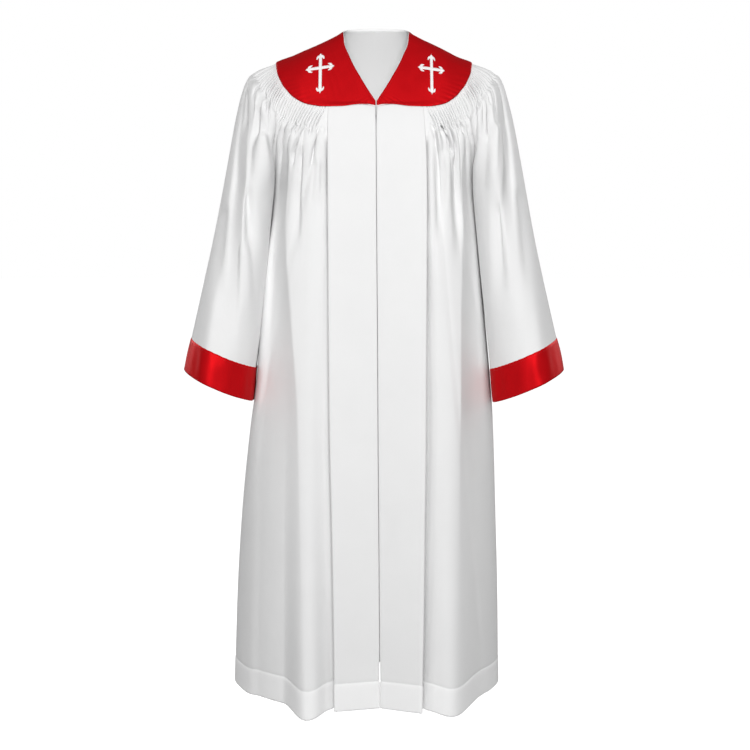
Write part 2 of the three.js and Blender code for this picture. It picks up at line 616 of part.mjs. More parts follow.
// A cross lying on one side of the yoke, raised above the satin.
function crossPiece(side) {
  const { height, span, arm, barAbove, thick } = CROSS;
  const tilt = radians(CROSS_TILT[side]);
  const lift = SATIN / 2 + SEAM * 2 + thick / 2;
  const onYoke = (x, z) => {
    const fall = (read(SHOULDER, "ridge", x) - z) / read(SHOULDER, "drop", x);
    return figure(x, (Math.acos(1 - fall) * 180) / Math.PI, -1);
  };
  const known = new Map();
  const points = [];
  const number = (along, out, quarter) => {
    const turn = (quarter * Math.PI) / 2;
    const x = along * Math.cos(turn) - out * Math.sin(turn);
    const y = along * Math.sin(turn) + out * Math.cos(turn);
    const key = `${x.toFixed(3)},${y.toFixed(3)}`;
    if (!known.has(key)) {
      const outward = CROSS.x - x;
      const up = CROSS.z + y + x * Math.tan(tilt);
      const place = onYoke(outward, up);
      const sideways = onYoke(outward + 1, up).sub(place);
      const down = onYoke(outward, up - 1).sub(place);
      known.set(key, points.push(place.addScaledVector(down.cross(sideways).normalize(), lift)) - 1);
    }
    return known.get(key);
  };
  const faces = [];
  [span / 2, barAbove, span / 2, height - barAbove].forEach((reach, quarter) => {
    const made = limb(reach);
    const numbers = made.points.map(({ along, out }) => number(along, out, quarter));
    for (const face of made.faces) faces.push(face.map((corner) => numbers[corner]));
  });
  const [first, second, third, fourth] = [0, 1, 2, 3].map((quarter) => number(arm / 2, arm / 2, quarter));
  faces.push([first, second, third], [first, third, fourth]);
  const row = { points };
  leaning(side === "right" ? mirrored([row]) : [row]);
  return thicken(points, faces, points.map(() => thick));
}

const robe = new THREE.Group();
robe.name = "choir_robe";

function add(name, geometry, material) {
  const mesh = new THREE.Mesh(geometry, material);
  mesh.name = name;
  robe.add(mesh);
}

for (const side of ["left", "right"]) {
  const sink = SATIN / 2 + SEAM + LINING / 2;
  add(`yoke_front_${side}`, wall(yokeFrontPiece(side, 0, SATIN)), RED);
  add(`yoke_lining_front_${side}`, wall(yokeFrontPiece(side, sink, LINING)), WHITE);
  add(`front_${side}`, wall(frontPiece(side)), WHITE);
  add(`sleeve_${side}`, wall(sleevePiece(side)), WHITE);
  add(`cuff_${side}`, wall(cuffPiece(side)), RED);
  add(`cross_${side}`, crossPiece(side), WHITE);
}
add("yoke_back", wall(yokeBackPiece(0, SATIN, 36)), RED);
add("yoke_lining_back", wall(yokeBackPiece(SATIN / 2 + SEAM + LINING / 2, LINING, 36)), WHITE);
add("back", wall(backPiece()), WHITE);

export default robe;
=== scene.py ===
# %% [markdown]
# # Dressing a choir robe
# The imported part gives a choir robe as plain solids: a red satin yoke, white fronts, back and sleeves,
# and red cuffs. This notebook makes the cloth that stands for each solid, with its flutes, gathers,
# folds, seams and stitches. Lengths are in millimetres until a mesh is made, because that is how a
# pattern cutter thinks, and Blender gets metres.

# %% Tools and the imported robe
import json
import math

import bmesh
import bpy
import numpy as np
from mathutils import Matrix, Vector

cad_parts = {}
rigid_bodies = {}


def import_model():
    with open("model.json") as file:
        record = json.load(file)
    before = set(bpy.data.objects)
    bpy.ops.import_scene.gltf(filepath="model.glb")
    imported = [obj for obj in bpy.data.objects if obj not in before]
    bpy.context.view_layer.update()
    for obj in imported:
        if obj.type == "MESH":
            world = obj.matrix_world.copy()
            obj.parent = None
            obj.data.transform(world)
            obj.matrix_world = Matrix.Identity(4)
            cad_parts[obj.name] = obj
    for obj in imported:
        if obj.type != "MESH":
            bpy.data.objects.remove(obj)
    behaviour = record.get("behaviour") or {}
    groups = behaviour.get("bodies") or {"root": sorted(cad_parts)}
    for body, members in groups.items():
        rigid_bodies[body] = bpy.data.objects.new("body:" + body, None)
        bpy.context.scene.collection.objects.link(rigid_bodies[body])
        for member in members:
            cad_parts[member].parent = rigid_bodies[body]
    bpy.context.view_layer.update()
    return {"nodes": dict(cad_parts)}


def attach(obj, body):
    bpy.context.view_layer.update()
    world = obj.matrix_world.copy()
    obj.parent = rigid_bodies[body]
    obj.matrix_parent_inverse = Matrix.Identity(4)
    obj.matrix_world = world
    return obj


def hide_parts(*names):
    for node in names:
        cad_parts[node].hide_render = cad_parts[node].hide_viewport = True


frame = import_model()
MM = 0.001
print("packed nodes:", len(frame["nodes"]))

# %% [markdown]
# ## The camera
# A product photograph is taken from some way off with a long lens, so that the sleeves and the hem
# aren't stretched. The camera stands 3.2 m in front, a little above the waist, and looks slightly down.

# %% Camera
camera = bpy.data.objects.new("camera", bpy.data.cameras.new("camera"))
camera.data.lens = 81
camera.data.sensor_width = 36
camera.location = (-0.002, -3.2, -0.406)
camera.rotation_euler = (math.radians(90 - 4.245), 0, 0)
bpy.context.scene.collection.objects.link(camera)
bpy.context.scene.camera = camera
print("camera at", tuple(camera.location))

# %% [markdown]
# ## Studio light
# White cloth only shows its folds when the light has a direction. One large soft box stands in front,
# so a fold darkens where it turns away. A weak one hangs above. Two more stand behind, one on each
# side, and light the back and the outlines of the sleeves.


# %% Soft boxes
def soft_box(name, place, aim, size, power):
    light = bpy.data.objects.new(name, bpy.data.lights.new(name, "AREA"))
    light.data.size = size
    light.data.energy = power
    light.location = place
    light.rotation_euler = (Vector(aim) - Vector(place)).to_track_quat("-Z", "Y").to_euler()
    bpy.context.scene.collection.objects.link(light)


soft_box("key light", (0.05, -3.0, 0.45), (0, 0, -0.6), 1.1, 86)
soft_box("top light", (-0.1, -1.4, 1.7), (0, 0, -0.1), 0.7, 6)
for name, x in (("left edge light", 2.1), ("right edge light", -2.1)):
    soft_box(name, (x, 1.8, 0.3), (0, 0, -0.6), 1.2, 32)

# %% [markdown]
# ## A white room
# The background is plain white to the eye, but it lights the robe with only part of that strength, so
# that the folds keep their shade. A Light Path node tells the two uses apart.

# %% White room
room = bpy.data.worlds.new("white room")
room.use_nodes = True
room.node_tree.nodes.clear()
seen = room.node_tree.nodes.new("ShaderNodeBackground")
seen.inputs["Strength"].default_value = 1.0
lit = room.node_tree.nodes.new("ShaderNodeBackground")
lit.inputs["Strength"].default_value = 0.16
path = room.node_tree.nodes.new("ShaderNodeLightPath")
choose = room.node_tree.nodes.new("ShaderNodeMixShader")
room_out = room.node_tree.nodes.new("ShaderNodeOutputWorld")
for background in (seen, lit):
    background.inputs["Color"].default_value = (1, 1, 1, 1)
room.node_tree.links.new(path.outputs["Is Camera Ray"], choose.inputs["Fac"])
room.node_tree.links.new(lit.outputs["Background"], choose.inputs[1])
room.node_tree.links.new(seen.outputs["Background"], choose.inputs[2])
room.node_tree.links.new(choose.outputs["Shader"], room_out.inputs["Surface"])
bpy.context.scene.world = room
bpy.context.scene.view_settings.view_transform = "Standard"
print("room light:", lit.inputs["Strength"].default_value)

# %% [markdown]
# ## Small helpers
# A garment is described by short tables: a row for each level, a column for each size. `along` draws a
# smooth curve through such rows that never swings past them, so seams that share a table stay together.


# %% Curves through tables
def ease(value):
    value = np.clip(value, 0, 1)
    return value**2 * (3 - 2 * value)


def mix(start, end, share):
    return start + (end - start) * share


def table(names, *rows):
    return dict(zip(names.split(), np.array(rows, float).T))


def along(places, values, at):
    values = np.asarray(values, float)
    thin = (-1,) + (1,) * (values.ndim - 1)
    rise = np.diff(values, axis=0) / np.diff(places).reshape(thin)
    before, after = rise[:-1], rise[1:]
    level = before * after <= 0
    middle = np.where(level, 0, 2 * before * after / np.where(level, 1, before + after))
    slope = np.concatenate([rise[:1], middle, rise[-1:]])
    at = np.asarray(at, float)
    row = np.clip(np.searchsorted(places, at, side="left") - 1, 0, len(places) - 2)
    span = places[row + 1] - places[row]
    t = np.clip((at - places[row]) / span, 0, 1)
    if values.ndim > 1:
        span, t = span.reshape(thin), t.reshape(thin)
    curve = values[row] * (1 - t) ** 2 * (1 + 2 * t) + values[row + 1] * t**2 * (3 - 2 * t)
    return curve + span * (slope[row] * t * (1 - t) ** 2 - slope[row + 1] * t**2 * (1 - t))


def read(sizes, column, at):
    return along(sizes["at"], sizes[column], at)


def arc(start, leave, arrive, end, t):
    t = np.asarray(t, float)[:, None]
    return start * (1 - t) ** 3 + 3 * leave * t * (1 - t) ** 2 + 3 * arrive * t**2 * (1 - t) + end * t**3


print("halfway between 10 and 20:", read(table("at size", (0, 10), (1, 20)), "size", 0.5))

# %% [markdown]
# ## The form under the yoke
# The yoke lies on the shoulders, so its form is theirs: a ridge that falls outwards, and in front and
# behind a curve down from it. `turn` counts degrees past the ridge.

# %% Shoulder form
SHOULDER = table(
    "at ridge front back drop round",
    (0, 34, 112, 119, 195, 0.3),
    (30, 20, 112, 119, 176, 0.3),
    (62, -2, 112, 118, 155, 0.35),
    (100, -19.8, 109.5, 114, 137, 0.65),
    (140, -38.6, 100, 105, 119.5, 0.95),
    (181.5, -58, 84, 86, 110, 1),
)
YOKE_EDGE = table(
    "at x turn",
    (0, 0.8, 85.5),
    (87, 88, 85.5),
    (121, 121, 83),
    (149, 144, 75.3),
    (172, 158, 65.2),
    (186, 165, 58.6),
    (223, 176.5, 37.5),
    (280, 181.5, 0),
)
YOKE_RUN = 280
RAGLAN_RUN = 172


def figure(x, turn, face):
    x, turn = np.broadcast_arrays(np.asarray(x, float), np.asarray(turn, float))
    fall = 1 - np.cos(np.radians(turn))
    rounding = read(SHOULDER, "round", x) if face < 0 else 1
    depth = read(SHOULDER, "front" if face < 0 else "back", x)
    reach = mix(fall, np.sin(np.radians(turn)), rounding)
    z = read(SHOULDER, "ridge", x) - read(SHOULDER, "drop", x) * fall
    return np.stack([x, face * depth * reach, z], -1)


def yoke_edge(run, face):
    return figure(read(YOKE_EDGE, "x", run), read(YOKE_EDGE, "turn", run), face)


print("shoulder tip of the yoke:", yoke_edge(YOKE_RUN, -1).round(1))

# %% [markdown]
# ## Cloth from a grid
# Every piece of cloth starts as Blender's plane grid. Its corners are then moved onto the rows and
# columns of points that the piece's own sizes give, and its UVs are metres of cloth, so a weave keeps
# its scale everywhere. A Solidify modifier gives it the thickness of the cloth.


# %% Grid to cloth
def normals_of(points, outward=1):
    normal = np.cross(np.gradient(points, axis=0), np.gradient(points, axis=1))
    return outward * normal / np.maximum(np.linalg.norm(normal, axis=2, keepdims=True), 1e-9)


def runs_of(points, axis):
    steps = np.linalg.norm(np.diff(points, axis=axis), axis=2)
    start = np.zeros_like(np.take(steps, [0], axis=axis))
    return np.concatenate([start, np.cumsum(steps, axis=axis)], axis=axis)


def grid_mesh(name, points, turned, doubled=None):
    """A mesh through rows and columns of points. Rows run down, columns to the wearer's left."""
    rows, columns = points.shape[:2]
    mesh = bmesh.new()
    mesh.loops.layers.uv.new("cloth")
    bmesh.ops.create_grid(mesh, x_segments=columns - 1, y_segments=rows - 1, size=0.5)
    if turned:
        bmesh.ops.reverse_faces(mesh, faces=mesh.faces[:])
    data = bpy.data.meshes.new(name)
    mesh.to_mesh(data)
    mesh.free()
    data.vertices.foreach_set("co", (points[::-1] * MM).ravel())
    across, down = np.meshgrid(runs_of(points, 1).mean(axis=0), -runs_of(points, 0).mean(axis=1)[::-1])
    flat = np.stack([across.ravel(), down.ravel()], -1) * MM
    corners = np.zeros(len(data.loops), np.int32)
    data.loops.foreach_get("vertex_index", corners)
    data.uv_layers["cloth"].data.foreach_set("uv", flat[corners].ravel())
    if doubled is not None:
        layer = data.attributes.new("doubled", "FLOAT", "POINT")
        layer.data.foreach_set("value", np.repeat(doubled[::-1], columns))
    data.shade_smooth()
    return data


def joined_up(data):
    """Merges the two side edges of a grid that runs all the way round."""
    mesh = bmesh.new()
    mesh.from_mesh(data)
    rim = [corner for corner in mesh.verts if corner.is_boundary]
    bmesh.ops.remove_doubles(mesh, verts=rim, dist=0.00005)
    mesh.to_mesh(data)
    mesh.free()


def finished(name, data, material, node=None, thickness=0):
    piece = bpy.data.objects.new(name, data)
    bpy.context.scene.collection.objects.link(piece)
    data.materials.append(material)
    if thickness:
        wall = piece.modifiers.new("cloth thickness", "SOLIDIFY")
        wall.thickness = thickness * MM
        wall.offset = 0
    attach(piece, "root")
    if node:
        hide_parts(node)
    print(name, "faces:", len(data.polygons))
    return piece


# %% [markdown]
# ## Lean and side
# The robe hangs a few millimetres towards the wearer's right, and each side is worked out as a left
# side and mirrored. Both are done to the points, last of all.


# %% Lean and mirror
LEAN = -4


def placed(points, side="left"):
    points = points.copy()
    if side == "right":
        points[..., 0] *= -1
    points[..., 0] += LEAN * ease((np.abs(points[..., 0]) - 90) / 80)
    return points


# %% [markdown]
# ## Folds, creases and flutes
# Several kinds of relief make hung cloth look real. Broad folds grow towards the hem, and some fall
# back steeply on one side. Creases start where the cloth is drawn in under the yoke, sharp at the top
# and softer below. Flutes are the fine ridges of the drawn-in band itself, and below it the cloth
# opens into small gathers and rounded pipes. Each is a height added to the plain surface.


# %% Broad folds
def folding(folds, x, z):
    height = np.zeros_like(x)
    for start_z, end_z, start_x, end_x, inner, outer, start_height, end_height in folds:
        down = (start_z - z) / (start_z - end_z)
        offset = x - mix(start_x, end_x, down)
        width = np.where(offset < 0, inner, outer) * mix(0.8, 1.15, np.clip(down, 0, 1))
        near = np.clip(np.abs(offset) / width, 0, 1)
        swell = ease(down / 0.12) * mix(start_height, end_height, np.clip(down, 0, 1) ** 1.6)
        height += np.where(down > 0, swell * np.cos(near * np.pi / 2) ** 2, 0)
    return height


# %% Folds that lie over the next one
def dropping(drops, x, z, stays):
    """The cloth falls back steeply outside a crest line. Further out, a share of the depth stays."""
    depth = np.zeros_like(x)
    for rows in drops:
        crest_x, crest_z, walls, rises, depths = np.array(rows, float).T
        columns = (crest_x, walls, rises, depths)
        crest, wall, rise, fall = (np.interp(-z, -crest_z, values) for values in columns)
        offset = x - crest
        down = np.sin(np.clip(offset / wall, 0, 1) * np.pi / 2)
        up = mix(stays, 1, np.cos(np.clip((offset - wall) / rise, 0, 1) * np.pi / 2) ** 2)
        depth += fall * down * up
    return depth


# %% Creases that follow a line of x and z
CREASE_STRENGTH = 1.4


def creasing(creases, x, z):
    height = np.zeros_like(x)
    for line, start_width, end_width, depth, sharp, lean in creases:
        xs, zs = np.array(line, float).T
        down = (zs[0] - z) / (zs[0] - zs[-1])
        offset = x - np.interp(-z, -zs, xs)
        width = mix(start_width, end_width, np.clip(down, 0, 1)) * (1 + lean * np.sign(offset))
        near = np.clip(np.abs(offset) / width, 0, 1)
        profile = mix(np.cos(near * np.pi / 2) ** 2, (1 - near) ** 1.5, sharp)
        ends = ease((down + 0.06) / 0.12) * ease((1 - down) / 0.55)
        height += CREASE_STRENGTH * depth * profile * ends
    return height


# %% Flutes and the small gathers below them
FLUTE_DEPTH = 45
FLUTE_HEIGHT = 8.0
GATHER_HEIGHT = 4.2


def fluted_band(count, across, at, seed):
    chance = np.random.default_rng(seed)
    ends = FLUTE_DEPTH + chance.uniform(-3.5, 3, count + 1)
    swell = chance.uniform(0.75, 1.2, count + 1)
    number = np.clip(np.round(across * count).astype(int), 0, count)
    tube = np.abs(np.cos(np.pi * count * across)) ** 0.45 * swell[number]
    rise = mix(0.25, 1, ease((at - 3) / 18))
    close = 1 - ease((at - ends[number] + 3) / 6)
    return FLUTE_HEIGHT * (tube - 0.9) * rise * close


def small_gathers(count, points, across, at, seed, spacing=2.4):
    chance = np.random.default_rng(seed)
    run = runs_of(points, 1)
    billow = GATHER_HEIGHT * ease((at - FLUTE_DEPTH + 2) / 11) * (1 - ease((at - 60) / 70))
    height = billow * np.ones_like(run)
    flute = 1.0
    while flute < count - 0.5:
        middle = np.interp((round(flute) + 0.5) / count, across[0], np.arange(across.shape[1]))
        place = run[:, int(round(middle))][:, None]
        length, depth, wide = chance.uniform(12, 58), chance.uniform(5, 10), chance.uniform(4, 8)
        slant = chance.uniform(-0.12, 0.12)
        down = (at - FLUTE_DEPTH) / length
        width = mix(1.8, wide, ease(down))
        near = np.clip(np.abs(run - place - slant * (at - FLUTE_DEPTH)) / width, 0, 1)
        fade = np.where(down < 0, ease(1 + down * length / 7), (1 - np.clip(down, 0, 1)) ** 1.4)
        height -= depth * fade * (1 - near) ** 1.5
        flute += spacing * chance.uniform(0.6, 1.4)
    return height


def drift(points, size, seed):
    """A slow unevenness between -1 and 1, with waves about as long as size."""
    chance = np.random.default_rng(seed)
    height = np.zeros(points.shape[:2])
    for _ in range(7):
        way = chance.normal(size=3) * (1, 1, 0.45)
        height += np.sin(points @ way * 2.2 / size + chance.uniform(0, 6.3))
    return height / 7


def levelled(levels, stack, share):
    """Evens out a surface from level to level by share, from 0 for as it is to 1 for smooth."""
    spread = np.gradient(levels)

    def weights(places):
        return np.exp(-0.5 * ((levels[:, None] - places[None, :]) / 24) ** 2) * spread

    inside, above = weights(levels), weights(2 * levels[0] - levels)
    below = weights(2 * levels[-1] - levels)
    smooth = np.tensordot(inside - above - below, stack, axes=1)
    top, bottom = 2 * above.sum(axis=1)[:, None, None], 2 * below.sum(axis=1)[:, None, None]
    smooth += top * stack[0] + bottom * stack[-1]
    smooth /= (inside + above + below).sum(axis=1)[:, None, None]
    return mix(stack, smooth, share[..., None])


# %% Pipes: the rounded folds that the gathered cloth falls into below the band
def pipes(count, grid, at, seed, height, lengths):
    chance = np.random.default_rng(seed)
    edges = np.concatenate([[0], np.cumsum(chance.uniform(0.55, 1.5, count))])
    edges /= edges[-1]
    slants = np.concatenate([[0], chance.uniform(-0.35, 0.35, count - 1), [0]]) / count / 100
    sizes, reaches = chance.uniform(0.5, 1.25, count), chance.uniform(*lengths, count)
    down = at - FLUTE_DEPTH
    sharp = mix(0.6, 1.4, ease(down / 90))
    total = np.zeros_like(grid)
    for pipe in range(count):
        left = edges[pipe] + slants[pipe] * down
        right = edges[pipe + 1] + slants[pipe + 1] * down
        inside = np.clip((grid - left) / (right - left), 0, 1)
        fade = ease((at - 38) / 16) * np.exp(-np.maximum(at - 70, 0) / reaches[pipe])
        total += height * sizes[pipe] * fade * np.sin(np.pi * inside) ** sharp
    return total


# %% [markdown]
# ## Rows of a piece
# Rows lie close together where the flutes and the hem need them, and wide apart on the plain cloth.
# At the hem the cloth turns under and runs back up inside, as a real hem does.

# %% Levels and the turned hem
HEM_AT = 1100
HEM_DEPTH = 50
HEM_ROOM = 2.2
UNDERARM_AT = 185

body_levels = np.concatenate([
    np.arange(0, 60, 3), np.arange(60, 130, 5), np.arange(130, 300, 9), np.arange(300, 1040, 13),
    [1042, 1046, 1048.5, 1050, 1051.5, 1054], np.arange(1060, 1100, 10), [HEM_AT - 2, HEM_AT],
])
hem_line = int(np.searchsorted(body_levels, HEM_AT - HEM_DEPTH))


def hem_relief(at):
    """The doubled cloth below the hem's stitches stands out a little, and the stitches draw in."""
    turned = 0.7 * ease((at - HEM_AT + HEM_DEPTH) / 3)
    return turned - 0.6 * np.exp(-(((at - HEM_AT + HEM_DEPTH) / 1.6) ** 2))


def turned_under(points, normal, first, room):
    inside = (points - normal * room)[first:][::-1]
    down = points[-1] - points[-2]
    down = down / np.linalg.norm(down, axis=-1, keepdims=True)
    fold = points[-1] - normal[-1] * room / 2 + down * room / 2
    return np.concatenate([points, fold[None], inside])


def tucked_in(points, normal):
    """Adds a row that runs up under the yoke's turned edge."""
    up = points[0] - points[1]
    up /= np.linalg.norm(up, axis=1, keepdims=True)
    return np.concatenate([(points[0] + up * 4 - normal[0] * 0.3)[None], points])


print("rows of the body:", len(body_levels))

# %% [markdown]
# ## The fronts
# Each front is one cut: a facing turned in at the centre, a flat centre panel, a pressed knife pleat,
# and a side front that is fluted onto the yoke. Its sections start behind the panel's pressed edge.

# %% Front tables
PANEL = table(
    "at z centre_x centre_y right left right_y left_y gap",
    (0, -146.5, 0, -111.8, 87, 85, -110.6, -110.6, 2.4),
    (42, -188, 0, -117.5, 88, 88.5, -118, -118, 2.8),
    (85, -231, 0.3, -121, 88, 91, -122.5, -123, 3.2),
    (170, -316, 0.7, -124.5, 87.5, 92.3, -127.5, -129, 3.6),
    (285, -431, 1.5, -129, 87, 92, -133, -136, 4.2),
    (415, -561, 2.5, -134, 86.5, 91.5, -140, -144, 5),
    (590, -736, 3.5, -139, 85, 91, -149, -154, 6),
    (765, -911, 4.8, -144, 81, 89, -159, -165, 6),
    (920, -1066, 6, -148, 78, 87, -167, -176, 5),
    (1100, -1246, 7.2, -151, 75.5, 83.5, -175, -187, 4),
)
SIDE = table(
    "at right left y z go_x go_y go_z full",
    (0, 158, 158, -84.5, -113, 0.62, 0.35, 0.7, 0.62),
    (42, 176, 176, -93, -155, 0.7, 0.35, 0.62, 0.62),
    (85, 186, 186, -80, -203, 0.6, 0.76, 0.25, 0.62),
    (135, 192, 192, -47, -252, 0.5, 0.87, 0.1, 0.62),
    (185, 194, 194, 0, -290, 0.35, 0.94, 0, 0.62),
    (285, 199.5, 199, 0, -405, 0.12, 0.99, 0, 0.62),
    (415, 214.5, 210.5, 2, -545, 0, 1, 0, 0.61),
    (500, 220, 219.5, 4, -638, 0, 1, 0, 0.6),
    (590, 233, 226, 6, -728, 0, 1, 0, 0.59),
    (765, 252, 232, 8, -905, 0, 1, 0, 0.57),
    (920, 262, 237, 10, -1062, 0, 1, 0, 0.53),
    (1100, 268, 239.5, 12, -1232, 0, 1, 0, 0.47),
)
SQUARENESS = {"right": 0.75, "left": 0.5}
SIDE_LOBE = {"right": (5, -2), "left": (0, -2)}
PLEAT_DEPTH = 25
PANEL_GAP = 1.6
SEAM = 0.3
FRONT_FLUTES = 16
FLUTES_FROM = 0.24
FRONT_SAG = 0.45
FRONT_STAYS = 0.6
SLOT_WIDER_BELOW = 0.7
SLOT_WIDER_ABOVE = 1.3

# %% [markdown]
# The creases were measured in the photograph and are listed as lines of x and z. Broad folds have
# start and end heights (z), places (x), half widths on the inner and outer flank, and heights. A drop
# has rows of crest x, crest z, width of the wall, width of the rise after it, and depth. Beside the
# pleat, a trough and a narrow channel each have a depth, a width, and where they begin and grow.

# %% Front folds and creases
FRONT_FOLDS = {
    "right": [
        (-560, -1246, 134, 128, 48, 36, 2, 34),
        (-186, -330, 104, 134, 8, 8, -5, -1),
        (-700, -1246, 222, 236, 20, 26, 1, 5),
    ],
    "left": [
        (-520, -1246, 143, 150, 54, 46, 2, 28),
        (-180, -320, 102, 116, 8, 8, -5, -1),
        (-180, -330, 120, 152, 8, 9, -5, -1),
    ],
}
FRONT_DROPS = {
    "right": [[
        (151, -176, 9, 8, 0), (151, -200, 11, 9, 12), (151.6, -224, 13, 10, 17),
        (157.2, -279, 15, 12, 19), (162.7, -352, 17, 15, 20), (159.9, -425, 26, 16, 25),
        (152.6, -517, 33, 20, 26), (141.5, -683, 50, 30, 20), (137.8, -869, 70, 40, 10),
        (130.5, -1095, 80, 40, 2), (128, -1246, 80, 40, 0),
    ]],
    "left": [[
        (158, -176, 6, 7, 0), (160, -224, 7, 8, 8), (161, -279, 9, 9, 10),
        (165, -352, 13, 10, 14), (162, -425, 20, 14, 20), (159, -517, 28, 18, 26),
        (158.4, -683, 36, 30, 24), (156.6, -869, 48, 36, 14), (156.6, -1095, 60, 40, 3),
        (156, -1246, 60, 40, 0),
    ]],
}
PLEAT_TROUGH = {"right": (8, 36, 60, 80), "left": (10, 22, 140, 250)}
PLEAT_CHANNEL = {"right": (14, 5, 48, 40), "left": (15, 6, 48, 40)}
FRONT_CREASES = {
    "right": [
        ([(96, -184), (97.8, -206)], 2, 4.5, -6, 1, 0),
        ([(104, -184), (109, -204), (113, -222), (118, -262)], 2.5, 8, -5, 0.4, 0),
        ([(118.4, -185), (120.2, -204)], 2, 4, -5, 1, 0),
        ([(127.5, -180), (136, -202), (146, -228), (150, -262)], 2.5, 8, -10, 0.7, 0.35),
        ([(142.9, -176), (144, -204)], 2, 5, -6, 1, 0),
        ([(133, -225), (140, -300), (142, -420)], 8, 16, -5, 0, 0.3),
        ([(104, -240), (108, -330)], 6, 12, 4, 0, 0),
    ],
    "left": [
        ([(92, -186), (92, -230)], 2, 5, -6, 1, 0),
        ([(100.9, -178), (107, -195), (111, -228)], 2.5, 7, -9, 0.8, 0.2),
        ([(119.9, -180), (135, -212), (146, -240)], 2.5, 8, -14, 0.7, -0.3),
        ([(132.2, -174), (146, -212), (152, -250)], 2.5, 7, -8, 0.8, -0.2),
        ([(149.7, -174), (151, -190)], 2, 3.5, -6, 1, 0),
        ([(157.3, -172), (160, -200)], 2, 4, -6, 1, 0),
        ([(112, -222), (116, -330), (112, -420)], 10, 18, -6, 0, 0.3),
        ([(148, -240), (154, -330), (160, -460)], 8, 18, -6, 0, -0.3),
        ([(130, -230), (134, -360)], 8, 12, 4, 0, 0),
    ],
}


# %% Plan of the centre panel
def panel_sizes(side, at):
    """recess is how far the panel falls back from its edge to the pleat's inner fold."""
    centre = read(PANEL, "centre_x", at) * (-1 if side == "right" else 1) + PANEL_GAP / 2
    centre_y, edge, edge_y = (read(PANEL, name, at) for name in ("centre_y", side, side + "_y"))
    recess = (centre_y - edge_y) * PLEAT_DEPTH / (edge - centre)
    return centre, centre_y, edge, edge_y, read(PANEL, "gap", at), recess


def panel(side, at):
    """Rows of points from the turned-in facing to behind the pleat, before the lean."""
    centre, centre_y, edge, edge_y, gap, recess = panel_sizes(side, at)
    centre = centre + SLOT_WIDER_ABOVE * (1 - ease((at - 10) / 34)) + SLOT_WIDER_BELOW * ease((at - 980) / 70)
    inner = edge - PLEAT_DEPTH
    plan = []
    for back in (26, 13, 3):
        plan.append((centre + back, centre_y + 1.9, 1.9 + 0 * gap))
    for turn in np.radians([90, 135, 180, 225]):
        depth = 0.9 * (1 + math.sin(turn))
        plan.append((centre + 0.9 + 0.9 * math.cos(turn), centre_y + depth, depth + 0 * gap))
    for share in np.linspace(0.012, 1, 15):
        bow = 2.4 * share * (1 - share)
        x = mix(centre, edge - gap / 2, share)
        plan.append((x, mix(centre_y, edge_y, share) - bow, 0 * gap))
    for turn in np.radians([-54, -18, 18, 54, 90]):
        depth = gap / 2 * (1 + math.sin(turn))
        plan.append((edge - gap / 2 + gap / 2 * math.cos(turn), edge_y + depth, depth))
    for share in (0.3, 0.65, 1):
        plan.append((mix(edge - gap / 2, inner + gap / 2, share), edge_y + gap + recess * share, gap))
    for turn in np.radians([-135, -180, -225]):
        depth = gap * 1.5 + gap / 2 * math.sin(turn)
        plan.append((inner + gap / 2 + gap / 2 * math.cos(turn), edge_y + depth + recess, depth))
    z, fit = read(PANEL, "z", at), 1 - ease(at / FLUTE_DEPTH)
    columns = []
    for x, y, layer in plan:
        top = yoke_edge(np.maximum(x, 1), -1)
        under = top[:, 2] - 1 - 2 * ease(layer / 2)
        columns.append(np.stack([x, mix(y, top[:, 1] + layer, fit), mix(z, under, fit)], -1))
    return np.stack(columns, 1)


# %% Sections of the side front
def side_front(side, across):
    sections = []
    for row, at in enumerate(SIDE["at"]):
        size = {name: SIDE[name][row] for name in SIDE}
        _, _, edge, edge_y, gap, recess = panel_sizes(side, at)
        start = np.array([edge - PLEAT_DEPTH + gap / 2, edge_y + gap * 2 + recess, read(PANEL, "z", at)])
        end = np.array([size[side], size["y"], size["z"]])
        square = SQUARENESS[side] * ease((at - 150) / 130) * (1 - ease((at - 480) / 420))
        go = np.array([mix(size["go_x"], -0.02, square), size["go_y"], size["go_z"]])
        go /= np.linalg.norm(go)
        leave = start + ((end[0] - start[0]) * (size["full"] + 0.18 * square), -2 - recess * 1.5, 0)
        short = 0.34 * np.linalg.norm(start - end)
        reach = mix(short, (end[1] - start[1]) * size["full"], ease((at - 42) / 143)) * (1 + 0.3 * square)
        section = arc(start, leave, end - go * reach, end - go * SEAM, across)
        lobe = np.cos(np.clip(np.abs(across - 0.74) / 0.18, 0, 1) * np.pi / 2) ** 2
        lobe = lobe * ease((at - 150) / 110) * (1 - ease((at - 540) / 140))
        section[:, :2] += lobe[:, None] * SIDE_LOBE[side]
        sections.append(section)
    hidden = 1 - ease(across / 0.3)
    top = yoke_edge(mix(62, RAGLAN_RUN - SEAM / 2, across), -1)
    top[:, 1] += (sections[0][0, 1] - top[0, 1]) * hidden
    top[:, 2] -= 0.6 + 2.4 * hidden
    sections[0] = top
    return np.stack(sections)


# %% [markdown]
# The front's points are worked out in this order: sections, folds that stand forward, troughs and drops
# that fall back, then creases and flutes along the surface's own normals. Near the pleat and the seam
# the relief fades out, so that the edges stay where the next piece expects them.


